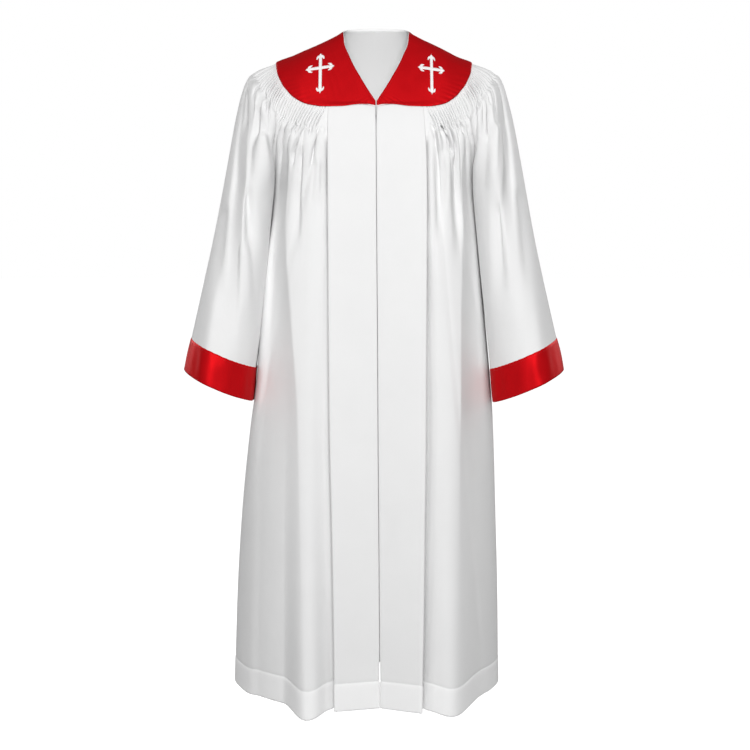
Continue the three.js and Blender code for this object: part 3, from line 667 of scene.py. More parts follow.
# %% Points of a front
def front_points(side):
    levels = body_levels
    plain = np.linspace(0, FLUTES_FROM, 13)[:-1]
    across = np.concatenate([plain, np.linspace(FLUTES_FROM, 1, FRONT_FLUTES * 8 + 1)])
    points = along(SIDE["at"], side_front(side, across), levels)
    grid, at = np.broadcast_arrays(across[None, :], levels[:, None])
    even = ease((at - 50) / 60) * ease((1 - grid) / 0.06) * ease(grid / 0.05)
    points = levelled(levels, points, even)
    open_share = ease(grid / 0.2) * (1 - ease((grid - 0.92) / 0.08))
    fold = folding(FRONT_FOLDS[side], points[..., 0], points[..., 2]) * open_share
    points[..., 1] -= fold
    points[..., 2] -= fold * FRONT_SAG * ease((at - 500) / 500)
    for deep, wide, begins, grows in (PLEAT_TROUGH[side], PLEAT_CHANNEL[side]):
        beside = 1 - ease((points[..., 0] - read(PANEL, side, levels)[:, None]) / wide)
        points[..., 1] += deep * beside * ease(grid / 0.11) * ease((at - begins) / grows)
    drop = dropping(FRONT_DROPS[side], points[..., 0], points[..., 2], FRONT_STAYS)
    points[..., 1] += drop * (1 - ease((grid - 0.94) / 0.06))
    seam_share = ease((grid - 0.1) / 0.12) * (1 - ease((grid - 0.96) / 0.04))
    crease = creasing(FRONT_CREASES[side], points[..., 0], points[..., 2])
    share = np.clip((grid - FLUTES_FROM) / (1 - FLUTES_FROM), 0, 1)
    band = np.where(grid < FLUTES_FROM, 0, fluted_band(FRONT_FLUTES, share, at, 3))
    seed = 11 if side == "right" else 12
    gathers = small_gathers(FRONT_FLUTES, points, share, at, seed) * seam_share
    gathers = gathers + pipes(7, share, at, seed + 20, 5.0, (20, 60)) * seam_share
    slow = 1.2 * drift(points, 90, seed) * seam_share * ease((at - 60) / 80)
    height = crease * seam_share + band + gathers + slow
    points = points + normals_of(points) * height[..., None]
    flat = panel(side, levels)
    calm = ease((levels - 20) / 60)[:, None]
    flat[..., 1] += 0.8 * drift(flat, 120, seed + 5) * calm
    points = np.concatenate([flat, points], axis=1)
    normal = normals_of(points)
    points = points + normal * hem_relief(levels)[:, None, None]
    normal = normals_of(points)
    room = np.where(np.arange(points.shape[1]) < flat.shape[1] + 2, 1.1, HEM_ROOM)[:, None]
    return tucked_in(turned_under(points, normal, hem_line, room), normal), points, normal


fronts = {side: front_points(side) for side in ("right", "left")}
print("grid of a front:", fronts["right"][0].shape)

# %% [markdown]
# ## The back
# The back hangs from the yoke's hind edge in folds of its own. Its outer corners are the fronts' side
# seams, mirrored through the body, so the pieces meet.

# %% Back tables
CENTRE_BACK = table(
    "at y z",
    (0, 118.6, -146),
    (42, 124, -188),
    (85, 128, -231),
    (135, 130, -281),
    (185, 131, -331),
    (285, 133, -431),
    (415, 139, -561),
    (500, 144, -646),
    (590, 150, -736),
    (765, 163, -911),
    (920, 175, -1066),
    (1100, 188, -1243),
)
BACK_FLUTES = 60
BACK_OF_FRONT_SEAM = 1.04
BACK_SAG = 0.1
BACK_FOLDS = [
    (-190, -1246, -176, -214, 20, 26, -3, -20),
    (-190, -1246, -142, -164, 18, 26, 3, 26),
    (-190, -1246, -108, -116, 16, 24, -3, -22),
    (-190, -1246, -70, -74, 18, 26, 3, 20),
    (-190, -1246, -24, -28, 20, 28, -4, -18),
    (-190, -1246, 20, 22, 20, 24, 3, 22),
    (-190, -1246, 62, 70, 18, 24, -3, -24),
    (-190, -1246, 104, 116, 18, 24, 3, 24),
    (-190, -1246, 144, 162, 18, 24, -3, -18),
    (-190, -1246, 178, 202, 16, 20, 2, 14),
]
BACK_CREASES = [
    ([(-161, -172), (-170, -250), (-178, -380)], 3, 13, -11, 0.4, 0.3),
    ([(-128, -182), (-133, -236)], 3, 8, -9, 0.7, 0),
    ([(-104, -186), (-107, -260), (-110, -400)], 3, 13, -12, 0.4, -0.3),
    ([(-82, -188), (-80, -219)], 2.5, 6, -7, 0.9, 0),
    ([(-47, -190), (-50, -260)], 3, 9, -10, 0.6, 0.3),
    ([(-21, -191), (-25, -300), (-27, -440)], 3, 14, -12, 0.4, 0),
    ([(3, -191), (1, -228)], 2.5, 7, -8, 0.9, 0),
    ([(36, -190), (39, -244)], 3, 8, -9, 0.7, -0.3),
    ([(61, -189), (64, -280), (66, -420)], 3, 13, -12, 0.4, 0.3),
    ([(90, -187), (88, -216)], 2.5, 6, -6, 0.9, 0),
    ([(117, -184), (122, -252)], 3, 9, -9, 0.6, 0.2),
    ([(141, -179), (148, -280), (154, -410)], 3, 13, -11, 0.4, -0.3),
    ([(166, -168), (172, -209)], 2.5, 7, -7, 0.8, 0),
]


# %% Sections of the back
def back_sections(across):
    sections = []
    for row, at in enumerate(SIDE["at"]):
        size = {name: SIDE[name][row] for name in SIDE}
        middle = np.array([0, read(CENTRE_BACK, "y", at), read(CENTRE_BACK, "z", at)])
        points = np.zeros((len(across), 3))
        for sign, side in ((-1, "right"), (1, "left")):
            y = size["y"] if at >= UNDERARM_AT else -size["y"] * BACK_OF_FRONT_SEAM
            end = np.array([size[side] * sign, y, size["z"]])
            go = np.array([size["go_x"] * sign, -size["go_y"], size["go_z"]])
            go /= np.linalg.norm(go)
            short = 0.34 * np.linalg.norm(end - middle)
            reach = mix(short, (middle[1] - y) * 0.62, ease((at - 42) / 143))
            leave = middle + ((end[0] - middle[0]) * 0.6, 0, 0)
            half = (across - 0.5) * sign >= 0
            t = np.abs(across[half] - 0.5) * 2
            points[half] = arc(middle, leave, end - go * reach, end - go * SEAM, t)
        sections.append(points)
    top = yoke_edge(np.abs(across - 0.5) * 2 * (RAGLAN_RUN - SEAM / 2), 1)
    top[:, 0] *= np.clip(np.abs(across - 0.5) * 40, 0, 1) * np.sign(across - 0.5)
    top[:, 2] -= 0.6
    sections[0] = top
    return np.stack(sections)


# %% Points of the back
def back_points():
    across = np.linspace(0, 1, BACK_FLUTES * 6 + 1)
    points = along(SIDE["at"], back_sections(across), body_levels)
    grid, at = np.broadcast_arrays(across[None, :], body_levels[:, None])
    edge = ease(np.minimum(grid, 1 - grid) / 0.04)
    points = levelled(body_levels, points, ease((at - 50) / 60) * edge)
    open_share = ease(grid / 0.06) * ease((1 - grid) / 0.06)
    fold = folding(BACK_FOLDS, points[..., 0], points[..., 2]) * open_share
    points[..., 1] += fold
    points[..., 2] -= fold * BACK_SAG
    crease = creasing(BACK_CREASES, points[..., 0], points[..., 2])
    gathers = small_gathers(BACK_FLUTES, points, grid, at, 21)
    gathers = gathers + pipes(21, grid, at, 23, 6.5, (40, 110))
    slow = 1.4 * drift(points, 90, 22) * ease((at - 60) / 80)
    height = fluted_band(BACK_FLUTES, grid, at, 4) + (crease + gathers + slow) * edge
    points = points + normals_of(points, -1) * height[..., None]
    points = points + normals_of(points, -1) * hem_relief(body_levels)[:, None, None]
    normal = normals_of(points, -1)
    return tucked_in(turned_under(points, normal, hem_line, HEM_ROOM), normal), points, normal


back, back_face, back_normal = back_points()
print("grid of the back:", back.shape)

# %% [markdown]
# ## The sleeves
# A sleeve of this robe is a wide cone. Its head is fluted onto the yoke between the front and the
# back, and below the underarm its two edges meet in one seam, so the grid closes into a tube.

# %% Sleeve tables
SLEEVE = table(
    "at out_x out_y out_z in_x in_y in_z lead lag go_x go_z",
    (0, 181.5, 0, -58, 158, -84.5, -113, 0, 0, 0, 0),
    (42, 224, 0, -76, 176, -93, -155, 36, 62, 0.25, 0.45),
    (85, 246, -2, -112, 186, -80, -203, 58, 84, -0.12, 0.12),
    (135, 258, -3, -155, 192, -47, -252, 100, 104, -0.16, 0.04),
    (185, 268, -4, -210, 194, 0, -290, 152, 128, -0.12, 0),
    (260, 284, -6, -296, 198.5, 0, -362, 150, 140, -0.07, 0),
    (345, 301, -9, -385, 205, -3, -448, 152, 148, -0.05, 0),
    (445, 322, -12, -480, 213.5, -7, -540, 156, 156, -0.04, 0),
    (540, 343, -15, -572, 222, -10, -628, 160, 162, -0.03, 0),
    (600, 356, -17, -628, 227, -12, -688, 162, 166, -0.03, 0),
)
SLEEVE_FLUTES = 36
SLEEVE_STAYS = 0.25
CUFF_AT = 540
CUFF_DEPTH = 60
SLEEVE_FOLDS = [
    (-150, -420, 208, 218, 16, 16, 3, 2),
    (-330, -620, 292, 308, 24, 24, 2, 5),
]
SLEEVE_DROPS = {
    "right": [[
        (213, -92, 9, 8, 0), (217, -107, 12, 10, 8), (226, -159, 14, 12, 14),
        (231.7, -206, 15, 14, 16), (232.5, -279, 17, 16, 16), (239, -352, 18, 20, 13),
        (241, -425, 20, 24, 12), (246.4, -517, 24, 26, 8), (254, -620, 28, 30, 0),
    ]],
    "left": [[
        (210, -84, 9, 8, 0), (213.6, -98, 12, 10, 8), (222.8, -152, 14, 12, 14),
        (228.3, -206, 16, 14, 16), (228, -279, 19, 16, 15), (232, -352, 20, 22, 10),
        (236, -430, 24, 26, 4), (240, -520, 24, 26, 0),
    ]],
}
SLEEVE_CREASES = {
    "right": [
        ([(197.4, -124), (207.5, -153), (212, -186), (217, -225)], 4, 11, -15, 0.5, 0.3),
        ([(188, -132), (190, -152)], 2, 4, -6, 1, 0),
        ([(194.5, -130), (196, -160)], 2.5, 5, -7, 1, 0),
        ([(203, -196), (207, -320)], 15, 22, 8, 0, 0.2),
        ([(226, -120), (240, -200)], 4, 9, -6, 0.6, 0),
        ([(229.4, -300), (223, -440)], 10, 16, -6, 0, 0),
        ([(236, -400), (238, -560)], 12, 17, 4, 0, 0),
        ([(276, -330), (292, -520)], 14, 22, -4, 0, 0),
    ],
    "left": [
        ([(190, -134), (191, -156)], 2.5, 5, -7, 0.9, 0),
        ([(198.1, -124), (206, -150), (209, -172), (208, -214)], 3.5, 10, -14, 0.5, 0.3),
        ([(204, -118), (213, -150)], 2.5, 5, -6, 0.9, 0),
        ([(218, -180), (222, -330)], 14, 22, 8, 0, 0.2),
        ([(226, -330), (238, -520)], 12, 16, -5, 0, 0),
        ([(268, -300), (286, -500)], 14, 22, -4, 0, 0),
    ],
}
SLEEVE_BACK_CREASES = [
    ([(204, -118), (211, -180), (216, -250)], 3, 10, -12, 0.6, 0.3),
    ([(222, -98), (236, -200), (250, -380)], 6, 18, -14, 0.3, 0.3),
    ([(190, -138), (196, -176)], 3, 7, -8, 0.8, 0),
    ([(206, -210), (212, -330)], 12, 18, 6, 0, 0),
    ([(228, -300), (240, -500)], 12, 20, -7, 0, 0),
]


# %% Sections of a sleeve
def sleeve_sections(across):
    sections = []
    for row, at in enumerate(SLEEVE["at"]):
        size = {name: SLEEVE[name][row] for name in SLEEVE}
        hollow = 1 - ease((at - 135) / 50)
        step = mix(1.5, 1.5 + 0.4 * hollow, hollow)
        end = np.array([size["out_x"], size["out_y"], size["out_z"]])
        points = np.zeros((len(across), 3))
        for face in (-1, 1):
            y = -size["in_y"] * BACK_OF_FRONT_SEAM if face > 0 and at < UNDERARM_AT else size["in_y"]
            start = np.array([size["in_x"] + step, y, size["in_z"]])
            leave = start + np.array([size["go_x"], face, size["go_z"]]) * size["lead"]
            arrive = end + (0, face * size["lag"], -0.12 * size["lag"] * hollow)
            half = (across - 0.5) * face >= 0
            points[half] = arc(start, leave, arrive, end, 1 - np.abs(across[half] - 0.5) * 2)
        sections.append(points)
    run = mix(RAGLAN_RUN + SEAM, YOKE_RUN, 1 - np.abs(across - 0.5) * 2)
    front_half = across[:, None] < 0.5
    top = np.where(front_half, yoke_edge(run, -1), yoke_edge(run, 1))
    sections[0] = top + (0.35, 0, -0.45)
    return np.stack(sections)


def sleeve_shell(side, across, levels):
    points = along(SLEEVE["at"], sleeve_sections(across), levels)
    grid, at = np.broadcast_arrays(across[None, :], levels[:, None])
    edge = ease(np.minimum(grid, 1 - grid) / 0.05)
    points = levelled(levels, points, ease((at - 50) / 60) * edge)
    front = ease((0.5 - grid) / 0.06) * ease((grid - 0.02) / 0.1)
    behind = ease((grid - 0.5) / 0.06) * ease((0.98 - grid) / 0.1)
    fold = folding(SLEEVE_FOLDS, points[..., 0], points[..., 2])
    drop = dropping(SLEEVE_DROPS[side], points[..., 0], points[..., 2], SLEEVE_STAYS)
    points[..., 1] += drop * front - fold * (front - behind * 0.8)
    return points


# %% Points of a sleeve and its cuff
sleeve_levels = np.concatenate([
    np.arange(0, 60, 3), np.arange(60, 130, 5), np.arange(130, CUFF_AT, 10),
    [CUFF_AT - 4, CUFF_AT, CUFF_AT + 3],
])
cuff_levels = np.concatenate([
    [CUFF_AT - 2, CUFF_AT - 1, CUFF_AT + 0.5, CUFF_AT + 3], np.arange(CUFF_AT + 7, CUFF_AT + 56, 6),
    [CUFF_AT + CUFF_DEPTH - 2, CUFF_AT + CUFF_DEPTH],
])


def sleeve_relief(side, points, grid, at):
    seed = 31 if side == "right" else 32
    x, z = points[..., 0], points[..., 2]
    front = ease((0.5 - grid) / 0.05) * ease(grid / 0.05)
    behind = ease((grid - 0.5) / 0.05) * ease((1 - grid) / 0.05)
    crease = creasing(SLEEVE_CREASES[side], x, z) * front + creasing(SLEEVE_BACK_CREASES, x, z) * behind
    slow = 1.6 * drift(points, 80, seed) * ease((at - 60) / 80)
    edge = ease(np.minimum(grid, 1 - grid) / 0.03)
    return (crease + slow) * edge


INNER_LOBE = {"right": (-8, -2, 0), "left": (-10, 0, -3)}
INNER_LOBE_ENDS = {"right": 460, "left": 900}


def meet(points, grid, at, side):
    """Brings a sleeve's edges to the body's edges, so that the fluted band runs on across the seams."""
    face, mirror = fronts[side][1], (1 if side == "left" else -1, 1, 1)
    behind = back_face[:, -1 if side == "left" else 0] * mirror
    shared = int(np.searchsorted(body_levels, 130))
    held = (1 - ease((at - 44) / 16))[:shared, :, None]
    for edge, column, share in ((face[:, -1], 0, grid), (behind, -1, 1 - grid)):
        gap = (edge[:shared] - points[:shared, column])[:, None]
        points[:shared] += gap * held * (1 - ease(share[:shared] / 0.03))[..., None]
    return points


def sleeve_points(side):
    across = np.linspace(0, 1, SLEEVE_FLUTES * 8 + 1)
    levels = np.concatenate([sleeve_levels, cuff_levels[4:]])
    points = sleeve_shell(side, across, levels)
    grid, at = np.broadcast_arrays(across[None, :], levels[:, None])
    seed = 33 if side == "right" else 34
    edge = ease(np.minimum(grid, 1 - grid) / 0.02)
    height = sleeve_relief(side, points, grid, at)
    shoulder = edge * mix(0.35, 1, ease(np.abs(grid - 0.5) / 0.14))
    height = height + small_gathers(SLEEVE_FLUTES, points, grid, at, seed) * shoulder
    height = height + pipes(11, grid, at, seed + 4, 4.5, (15, 50)) * shoulder
    height = height + fluted_band(SLEEVE_FLUTES, grid, at, seed)
    points = points + normals_of(points) * height[..., None]
    across_lobe = np.where(grid < 0.07, (0.07 - grid) / 0.07, (grid - 0.07) / 0.16)
    lobe = np.cos(np.clip(across_lobe, 0, 1) * np.pi / 2) ** 2 * ease((at - 90) / 60)
    lobe = lobe * (1 - 0.5 * ease((at - INNER_LOBE_ENDS[side]) / 130))
    points = points + lobe[..., None] * INNER_LOBE[side]
    points = meet(points, grid, at, side)
    count = len(sleeve_levels)
    cuff = along(levels, points, cuff_levels)
    return tucked_in(points[:count], normals_of(points)), cuff


sleeves = {side: sleeve_points(side) for side in ("right", "left")}
print("grid of a sleeve:", sleeves["right"][0].shape)

# %% [markdown]
# ## Cuffs
# A cuff is a doubled band of satin, so its lower edge is a fold and its inside is satin too. Its upper
# edge is turned under and lies on the sleeve, and the satin waves a little between its edges.


# %% Points of a cuff
def cuff_points(plain, seed):
    at = cuff_levels[:, None] - CUFF_AT
    chance = np.random.default_rng(seed)
    run = runs_of(plain, 1)
    wave = np.zeros_like(run)
    for length in (31, 47, 71, 113):
        wave += np.sin(run * 6.283 / length + chance.uniform(0, 6.3) + at * chance.uniform(-0.03, 0.03))
    middle = np.sin(np.clip(at / CUFF_DEPTH, 0, 1) * np.pi)
    pucker = np.sin(run / 1.9 + 2.5 * np.sin(run / 17)) * np.exp(-np.clip(at, 0, 60) / 5)
    edge = ease(np.minimum(np.arange(run.shape[1]), run.shape[1] - 1 - np.arange(run.shape[1])) / 9)
    height = 1.0 * ease((at + 2.2) / 2) + (0.45 * wave * middle + 0.16 * pucker) * edge
    points = plain + normals_of(plain) * height[..., None]
    normal = normals_of(points)
    return turned_under(points, normal, 2, 1.7), points, normal


cuffs = {side: cuff_points(sleeves[side][1], seed) for side, seed in (("right", 41), ("left", 42))}
print("grid of a cuff:", cuffs["right"][0].shape)

# %% [markdown]
# ## The yoke
# The yoke is satin over a white lining. Two front halves meet at the point of the V and one back piece
# runs over both shoulders. Its lower edge is turned under and lies on the flutes, where the pull of the
# gathers puckers it.

# %% Neck tables
NECK_FRONT = table(
    "at x turn",
    (0, 0.8, 82.6),
    (0.25, 20, 73.5),
    (0.5, 39.5, 60),
    (0.68, 50, 48),
    (0.86, 59.5, 30),
    (1, 62, 0),
)
NECK_BACK = table(
    "at x y z",
    (0, 62, 0, -2),
    (0.2, 62.5, 18, 3),
    (0.42, 57, 36, 8.5),
    (0.62, 43, 47.5, 11),
    (0.8, 23, 53.5, 12.5),
    (1, 0, 56, 13),
)
YOKE_BACK_CROWN = 7


def yoke_front_surface(down, around):
    """down runs from the neck to the lower edge, around from the V's point to the shoulder."""
    x = mix(read(NECK_FRONT, "x", around), read(YOKE_EDGE, "x", around * YOKE_RUN), down)
    turn = mix(read(NECK_FRONT, "turn", around), read(YOKE_EDGE, "turn", around * YOKE_RUN), down)
    return figure(x, turn, -1)


def yoke_back_surface(down, around):
    """around runs over the back from the right shoulder to the left one."""
    share = around * 2 - 1
    place = 1 - np.abs(share)
    neck = np.stack([read(NECK_BACK, axis, place) for axis in "xyz"], -1)
    edge = yoke_edge((1 - place) * YOKE_RUN, 1)
    edge[..., 0] *= 1 - ease((place - 0.97) / 0.03)
    points = mix(neck, edge, down[..., None])
    crown = YOKE_BACK_CROWN * 4 * down * (1 - down) * np.sin(np.pi * place / 2)
    points[..., 1:] += (crown * 0.7)[..., None]
    points[..., 0] *= np.sign(share)
    return points


def shares(rows, columns):
    down, around = np.linspace(0, 1, rows), np.linspace(0.0006, 1 - 0.0006, columns)
    return np.meshgrid(down, around, indexing="ij")


# %% [markdown]
# Satin shows its smallest waves as bands of light. The relief has slow waves over the whole piece,
# puckers along the lower edge, a rolled edge at the neck and a turned edge below.


# %% Relief of the satin
def satin_relief(points, seed, pull):
    from_neck = runs_of(points, 0)
    to_edge = from_neck[-1:] - from_neck
    run = runs_of(points, 1)[-1:]
    pucker = np.sin(run / 1.9 + to_edge / 9 + 2.2 * np.sin(run / 13) + seed)
    pucker = pucker * (0.65 + 0.5 * np.sin(run / 24 + seed)) * pull
    near_edge = np.exp(-to_edge / 11) * ease(to_edge / 2.5)
    waves = 0.7 * drift(points, 34, seed) + 0.6 * drift(points, 13, seed + 1)
    middle = ease(from_neck / 12) * ease(to_edge / 6)
    rolled = -0.9 * (1 - ease(from_neck / 2.4)) - 0.8 * (1 - ease(to_edge / 2))
    sewn = -0.35 * np.exp(-(((from_neck - 4) / 1.1) ** 2))
    return 0.8 * pucker * near_edge + waves * middle + rolled + sewn


def yoke_points(surface, rows, columns, outward, seed, pull):
    down, around = shares(rows, columns)
    points = surface(down, around)
    reach = points[-1] - points[-2]
    reach /= np.linalg.norm(reach, axis=1, keepdims=True)
    middle = np.minimum(around, 1 - around) if outward < 0 else around
    overlap = 2.0 - 5.0 * (1 - ease(middle / 0.2)) * (outward > 0)
    points = points + reach * (overlap * ease((down - 0.6) / 0.4) ** 3)[..., None]
    lift = 2.1 * ease((down - 0.75) / 0.25)
    ends = ease(np.minimum(around, 1 - around) / 0.02)
    height = lift + satin_relief(points, seed, pull) * mix(0.4, 1, ends)
    points = points + normals_of(points, outward) * height[..., None]
    return points, normals_of(points, outward)


yokes = {
    "front_right": yoke_points(yoke_front_surface, 64, 140, 1, 51, 0.7),
    "front_left": yoke_points(yoke_front_surface, 64, 140, 1, 57, 1.2),
    "back": yoke_points(yoke_back_surface, 56, 280, -1, 61, 1.0),
}
print("grid of the yoke back:", yokes["back"][0].shape)

# %% [markdown]
# ## Lining
# The lining lies just inside the satin. At the V it shows as a thin pale edge, because it is rolled
# out a hair's breadth past the satin, and behind the neck its inside is what the eye sees.


# %% Points of the lining
def lining_points(surface, rows, columns, outward, seed):
    down, around = shares(rows, columns)
    points = surface(down, around)
    normal = normals_of(points, outward)
    out = points[1] - points[0]
    out /= np.linalg.norm(out, axis=1, keepdims=True)
    from_neck = runs_of(points, 0)
    proud = 0.9 * (1 - ease(from_neck / 3))
    depth = 1.7 - 0.5 * proud + 0.5 * drift(points, 40, seed) * ease(from_neck / 10)
    return points - normal * depth[..., None] - out * proud[..., None]


linings = {
    "front_right": lining_points(yoke_front_surface, 40, 90, 1, 71),
    "front_left": lining_points(yoke_front_surface, 40, 90, 1, 72),
    "back": lining_points(yoke_back_surface, 40, 160, -1, 73),
}
print("grid of the back lining:", linings["back"].shape)

# %% [markdown]
# ## Shader groups
# Effects that several finishes share are made once, as node groups with their own inputs. The weave
# draws crossing threads from the UVs, which are metres of cloth. The slow change varies a colour over
# the piece as dyed cloth does.


# %% Group helper
def shader_group(name, inputs, outputs):
    group = bpy.data.node_groups.new(name, "ShaderNodeTree")
    for label, start in inputs:
        group.interface.new_socket(label, in_out="INPUT", socket_type="NodeSocketFloat").default_value = start
    for label in outputs:
        group.interface.new_socket(label, in_out="OUTPUT", socket_type="NodeSocketFloat")
    group.nodes.new("NodeGroupInput")
    group.nodes.new("NodeGroupOutput")
    return group


def put(tree, kind, links=(), **settings):
    """Adds a node, sets its properties and joins outputs to its inputs."""
    node = tree.nodes.new(kind)
    for name, value in settings.items():
        setattr(node, name, value)
    for socket, source in links:
        if isinstance(source, bpy.types.NodeSocket):
            tree.links.new(source, node.inputs[socket])
        else:
            node.inputs[socket].default_value = source
    return node


def math_node(tree, operation, first, second=0.0):
    return put(tree, "ShaderNodeMath", [(0, first), (1, second)], operation=operation).outputs[0]


# %% Weave group
TURN_PER_METRE = 6283.0
weave = shader_group("weave", [("Threads per mm", 2.0), ("Slant", 1.0)], ["Height", "Thread"])
weave_in, weave_out = weave.nodes[0], weave.nodes[1]
place = put(weave, "ShaderNodeSeparateXYZ", [(0, put(weave, "ShaderNodeUVMap", uv_map="cloth").outputs[0])])
pitch = math_node(weave, "MULTIPLY", weave_in.outputs["Threads per mm"], TURN_PER_METRE)
warp_place = math_node(weave, "MULTIPLY", place.outputs["X"], pitch)
weft_place = math_node(weave, "MULTIPLY", place.outputs["Y"], pitch)
slanted = math_node(weave, "MULTIPLY", weft_place, weave_in.outputs["Slant"])
warp = math_node(weave, "SINE", math_node(weave, "ADD", warp_place, slanted))
weft = math_node(weave, "SINE", weft_place)
crossing = math_node(weave, "MULTIPLY", math_node(weave, "ADD", warp, weft), 0.25)
thread_height = math_node(weave, "ADD", crossing, 0.5)
weave.links.new(thread_height, weave_out.inputs["Height"])
warp_share = math_node(weave, "MULTIPLY", math_node(weave, "ADD", warp, 1.0), 0.5)
weave.links.new(warp_share, weave_out.inputs["Thread"])

# %% Slow change group
change = shader_group("slow change", [("Size in mm", 60.0), ("Roughness", 0.5)], ["Value"])
change_in, change_out = change.nodes[0], change.nodes[1]
scale = math_node(change, "DIVIDE", 1000.0, change_in.outputs["Size in mm"])
where = put(change, "ShaderNodeTexCoord").outputs["Object"]
cloud = put(change, "ShaderNodeTexNoise", [("Vector", where), ("Scale", scale), ("Detail", 3.0)])
change.links.new(change_in.outputs["Roughness"], cloud.inputs["Roughness"])
change.links.new(cloud.outputs["Fac"], change_out.inputs["Value"])
print("groups:", [group.name for group in bpy.data.node_groups])

# %% [markdown]
# ## Finishes
# The robe cloth is a matt twill with very little gloss. Satin is smooth because its threads float over
# several others, so its shine has the colour of the thread and a fine line along the warp. The lining
# is thinner and smoother than the robe, and embroidery thread has a little sheen. The red stitching
# thread is darker than the satin, partly as painted shade: its rows deepen the dark line along the
# yoke's turned lower edge. The hem is doubled cloth, so the finishes lighten a little where a piece is
# marked as doubled.


# %% Material maker
DOUBLED_LIGHTER = 0.45
HEM_WHITE = (0.96, 0.96, 0.96, 1)


def finish(name, light, dark, spread, roughness, weave_scale, weave_depth, slant):
    """A cloth finish: two near colours, the size of their change, gloss, and its weave."""
    material = bpy.data.materials.new(name)
    material.use_nodes = True
    tree = material.node_tree
    shader = tree.nodes["Principled BSDF"]
    slow = put(tree, "ShaderNodeGroup", node_tree=change)
    slow.inputs["Size in mm"].default_value = spread
    threads = put(tree, "ShaderNodeGroup", node_tree=weave)
    threads.inputs["Threads per mm"].default_value = weave_scale
    threads.inputs["Slant"].default_value = slant
    share = math_node(tree, "MULTIPLY", slow.outputs["Value"], 0.7)
    share = math_node(tree, "ADD", share, math_node(tree, "MULTIPLY", threads.outputs["Thread"], 0.3))
    colour = put(tree, "ShaderNodeMix", [("Factor", share)], data_type="RGBA")
    colour.inputs["A"].default_value = (*dark, 1)
    colour.inputs["B"].default_value = (*light, 1)
    doubled = put(tree, "ShaderNodeAttribute", attribute_name="doubled")
    amount = math_node(tree, "MULTIPLY", doubled.outputs["Fac"], DOUBLED_LIGHTER)
    lighter = put(tree, "ShaderNodeMix", [("Factor", amount)], data_type="RGBA")
    tree.links.new(colour.outputs["Result"], lighter.inputs["A"])
    lighter.inputs["B"].default_value = HEM_WHITE
    tree.links.new(lighter.outputs["Result"], shader.inputs["Base Color"])
    gloss = put(tree, "ShaderNodeMapRange", [("Value", slow.outputs["Value"])])
    gloss.inputs["To Min"].default_value = roughness[0]
    gloss.inputs["To Max"].default_value = roughness[1]
    tree.links.new(gloss.outputs["Result"], shader.inputs["Roughness"])
    bump = put(tree, "ShaderNodeBump", [("Height", threads.outputs["Height"])])
    bump.inputs["Distance"].default_value = weave_depth * MM
    bump.inputs["Strength"].default_value = 0.6
    tree.links.new(bump.outputs["Normal"], shader.inputs["Normal"])
    return material, shader


# %% The five finishes
FINISHES = {
    "white twill": ((0.77, 0.77, 0.77), (0.72, 0.72, 0.72), 70, (0.7, 0.86), 1.6, 0.09, 1, {
        "Sheen Weight": 0.12, "Sheen Roughness": 0.5, "Specular IOR Level": 0.25,
    }),
    "white lining": ((0.9, 0.9, 0.9), (0.86, 0.86, 0.86), 50, (0.5, 0.65), 2.2, 0.05, 0, {
        "Specular IOR Level": 0.35,
    }),
    "red satin": ((0.53, 0.006, 0.009), (0.46, 0.004, 0.007), 26, (0.4, 0.5), 2.6, 0.03, 0, {
        "Metallic": 0.25, "Specular IOR Level": 0.04, "Specular Tint": (1, 0.12, 0.1, 1),
    }),
    "white thread": ((0.86, 0.85, 0.84), (0.78, 0.77, 0.77), 8, (0.3, 0.45), 3.0, 0.04, 0, {
        "Sheen Weight": 0.2,
    }),
    # darker than the satin, partly as painted shade along the yoke's turned lower edge
    "red thread darkened as painted shade": ((0.36, 0.002, 0.006), (0.24, 0.001, 0.003), 8, (0.4, 0.55), 3.0, 0.04, 0, {}),
}
finishes = {}
for name, (*sizes, extra) in FINISHES.items():
    finishes[name], shader = finish(name, *sizes)
    for socket, value in extra.items():
        shader.inputs[socket].default_value = value
print("finishes:", list(finishes))

# %% [markdown]
# ## Sewing the pieces
# Each grid of points becomes a piece that stands for its node of the part. A right side is mirrored,
# which turns its faces, so those grids are reversed.


def sew(name, points, cloth, node, thickness, side="left", back=False, joined=False, hem=None):
    doubled = None if hem is None else (np.arange(len(points)) > hem).astype(float)
    data = grid_mesh(name, placed(points, side), (side == "right") != back, doubled)
    if joined:
        joined_up(data)
    finished(name, data, finishes[cloth], node, thickness)


hem_row = hem_line + 1
for side in ("right", "left"):
    sew(f"robe_front_{side}", fronts[side][0], "white twill", f"front_{side}", 1.0, side, hem=hem_row)
sew("robe_back", back, "white twill", "back", 1.0, back=True, hem=hem_row)
for side in ("right", "left"):
    sew(f"robe_sleeve_{side}", sleeves[side][0], "white twill", f"sleeve_{side}", 1.0, side, joined=True)
for side in ("right", "left"):
    sew(f"cuff_band_{side}", cuffs[side][0], "red satin", f"cuff_{side}", 0.9, side, joined=True)

# %% Yoke and lining
for place in yokes:
    side, behind = "right" if place == "front_right" else "left", place == "back"
    sew(f"yoke_satin_{place}", yokes[place][0], "red satin", f"yoke_{place}", 0.9, side, behind)
for place in linings:
    side, behind = "right" if place == "front_right" else "left", place == "back"
    name = "lining_neck_back" if behind else f"lining_{place}"
    sew(name, linings[place], "white lining", f"yoke_lining_{place}", 0.7, side, behind)

# %% [markdown]
# ## Embroidered crosses
# Satin stitch lays threads side by side across a shape, over padding, so each limb is a low dome with
# fine ridges over it. A limb is a grid wrapped into a closed loop of points that follows a line. The
# barbed ends are eight small leaves.

# %% Cross sizes
CROSS = {"x": 102, "above": 28, "below": 48, "side": 25, "half": 2.9, "thick": 1.4, "pitch": 0.8}
CROSS_Z = {"right": -74, "left": -76}
CROSS_TILT = {"right": 10, "left": 9}


def on_yoke(x, z):
    fall = (read(SHOULDER, "ridge", x) - z) / read(SHOULDER, "drop", x)
    return figure(x, np.degrees(np.arccos(np.clip(1 - fall, -1, 1))), -1)


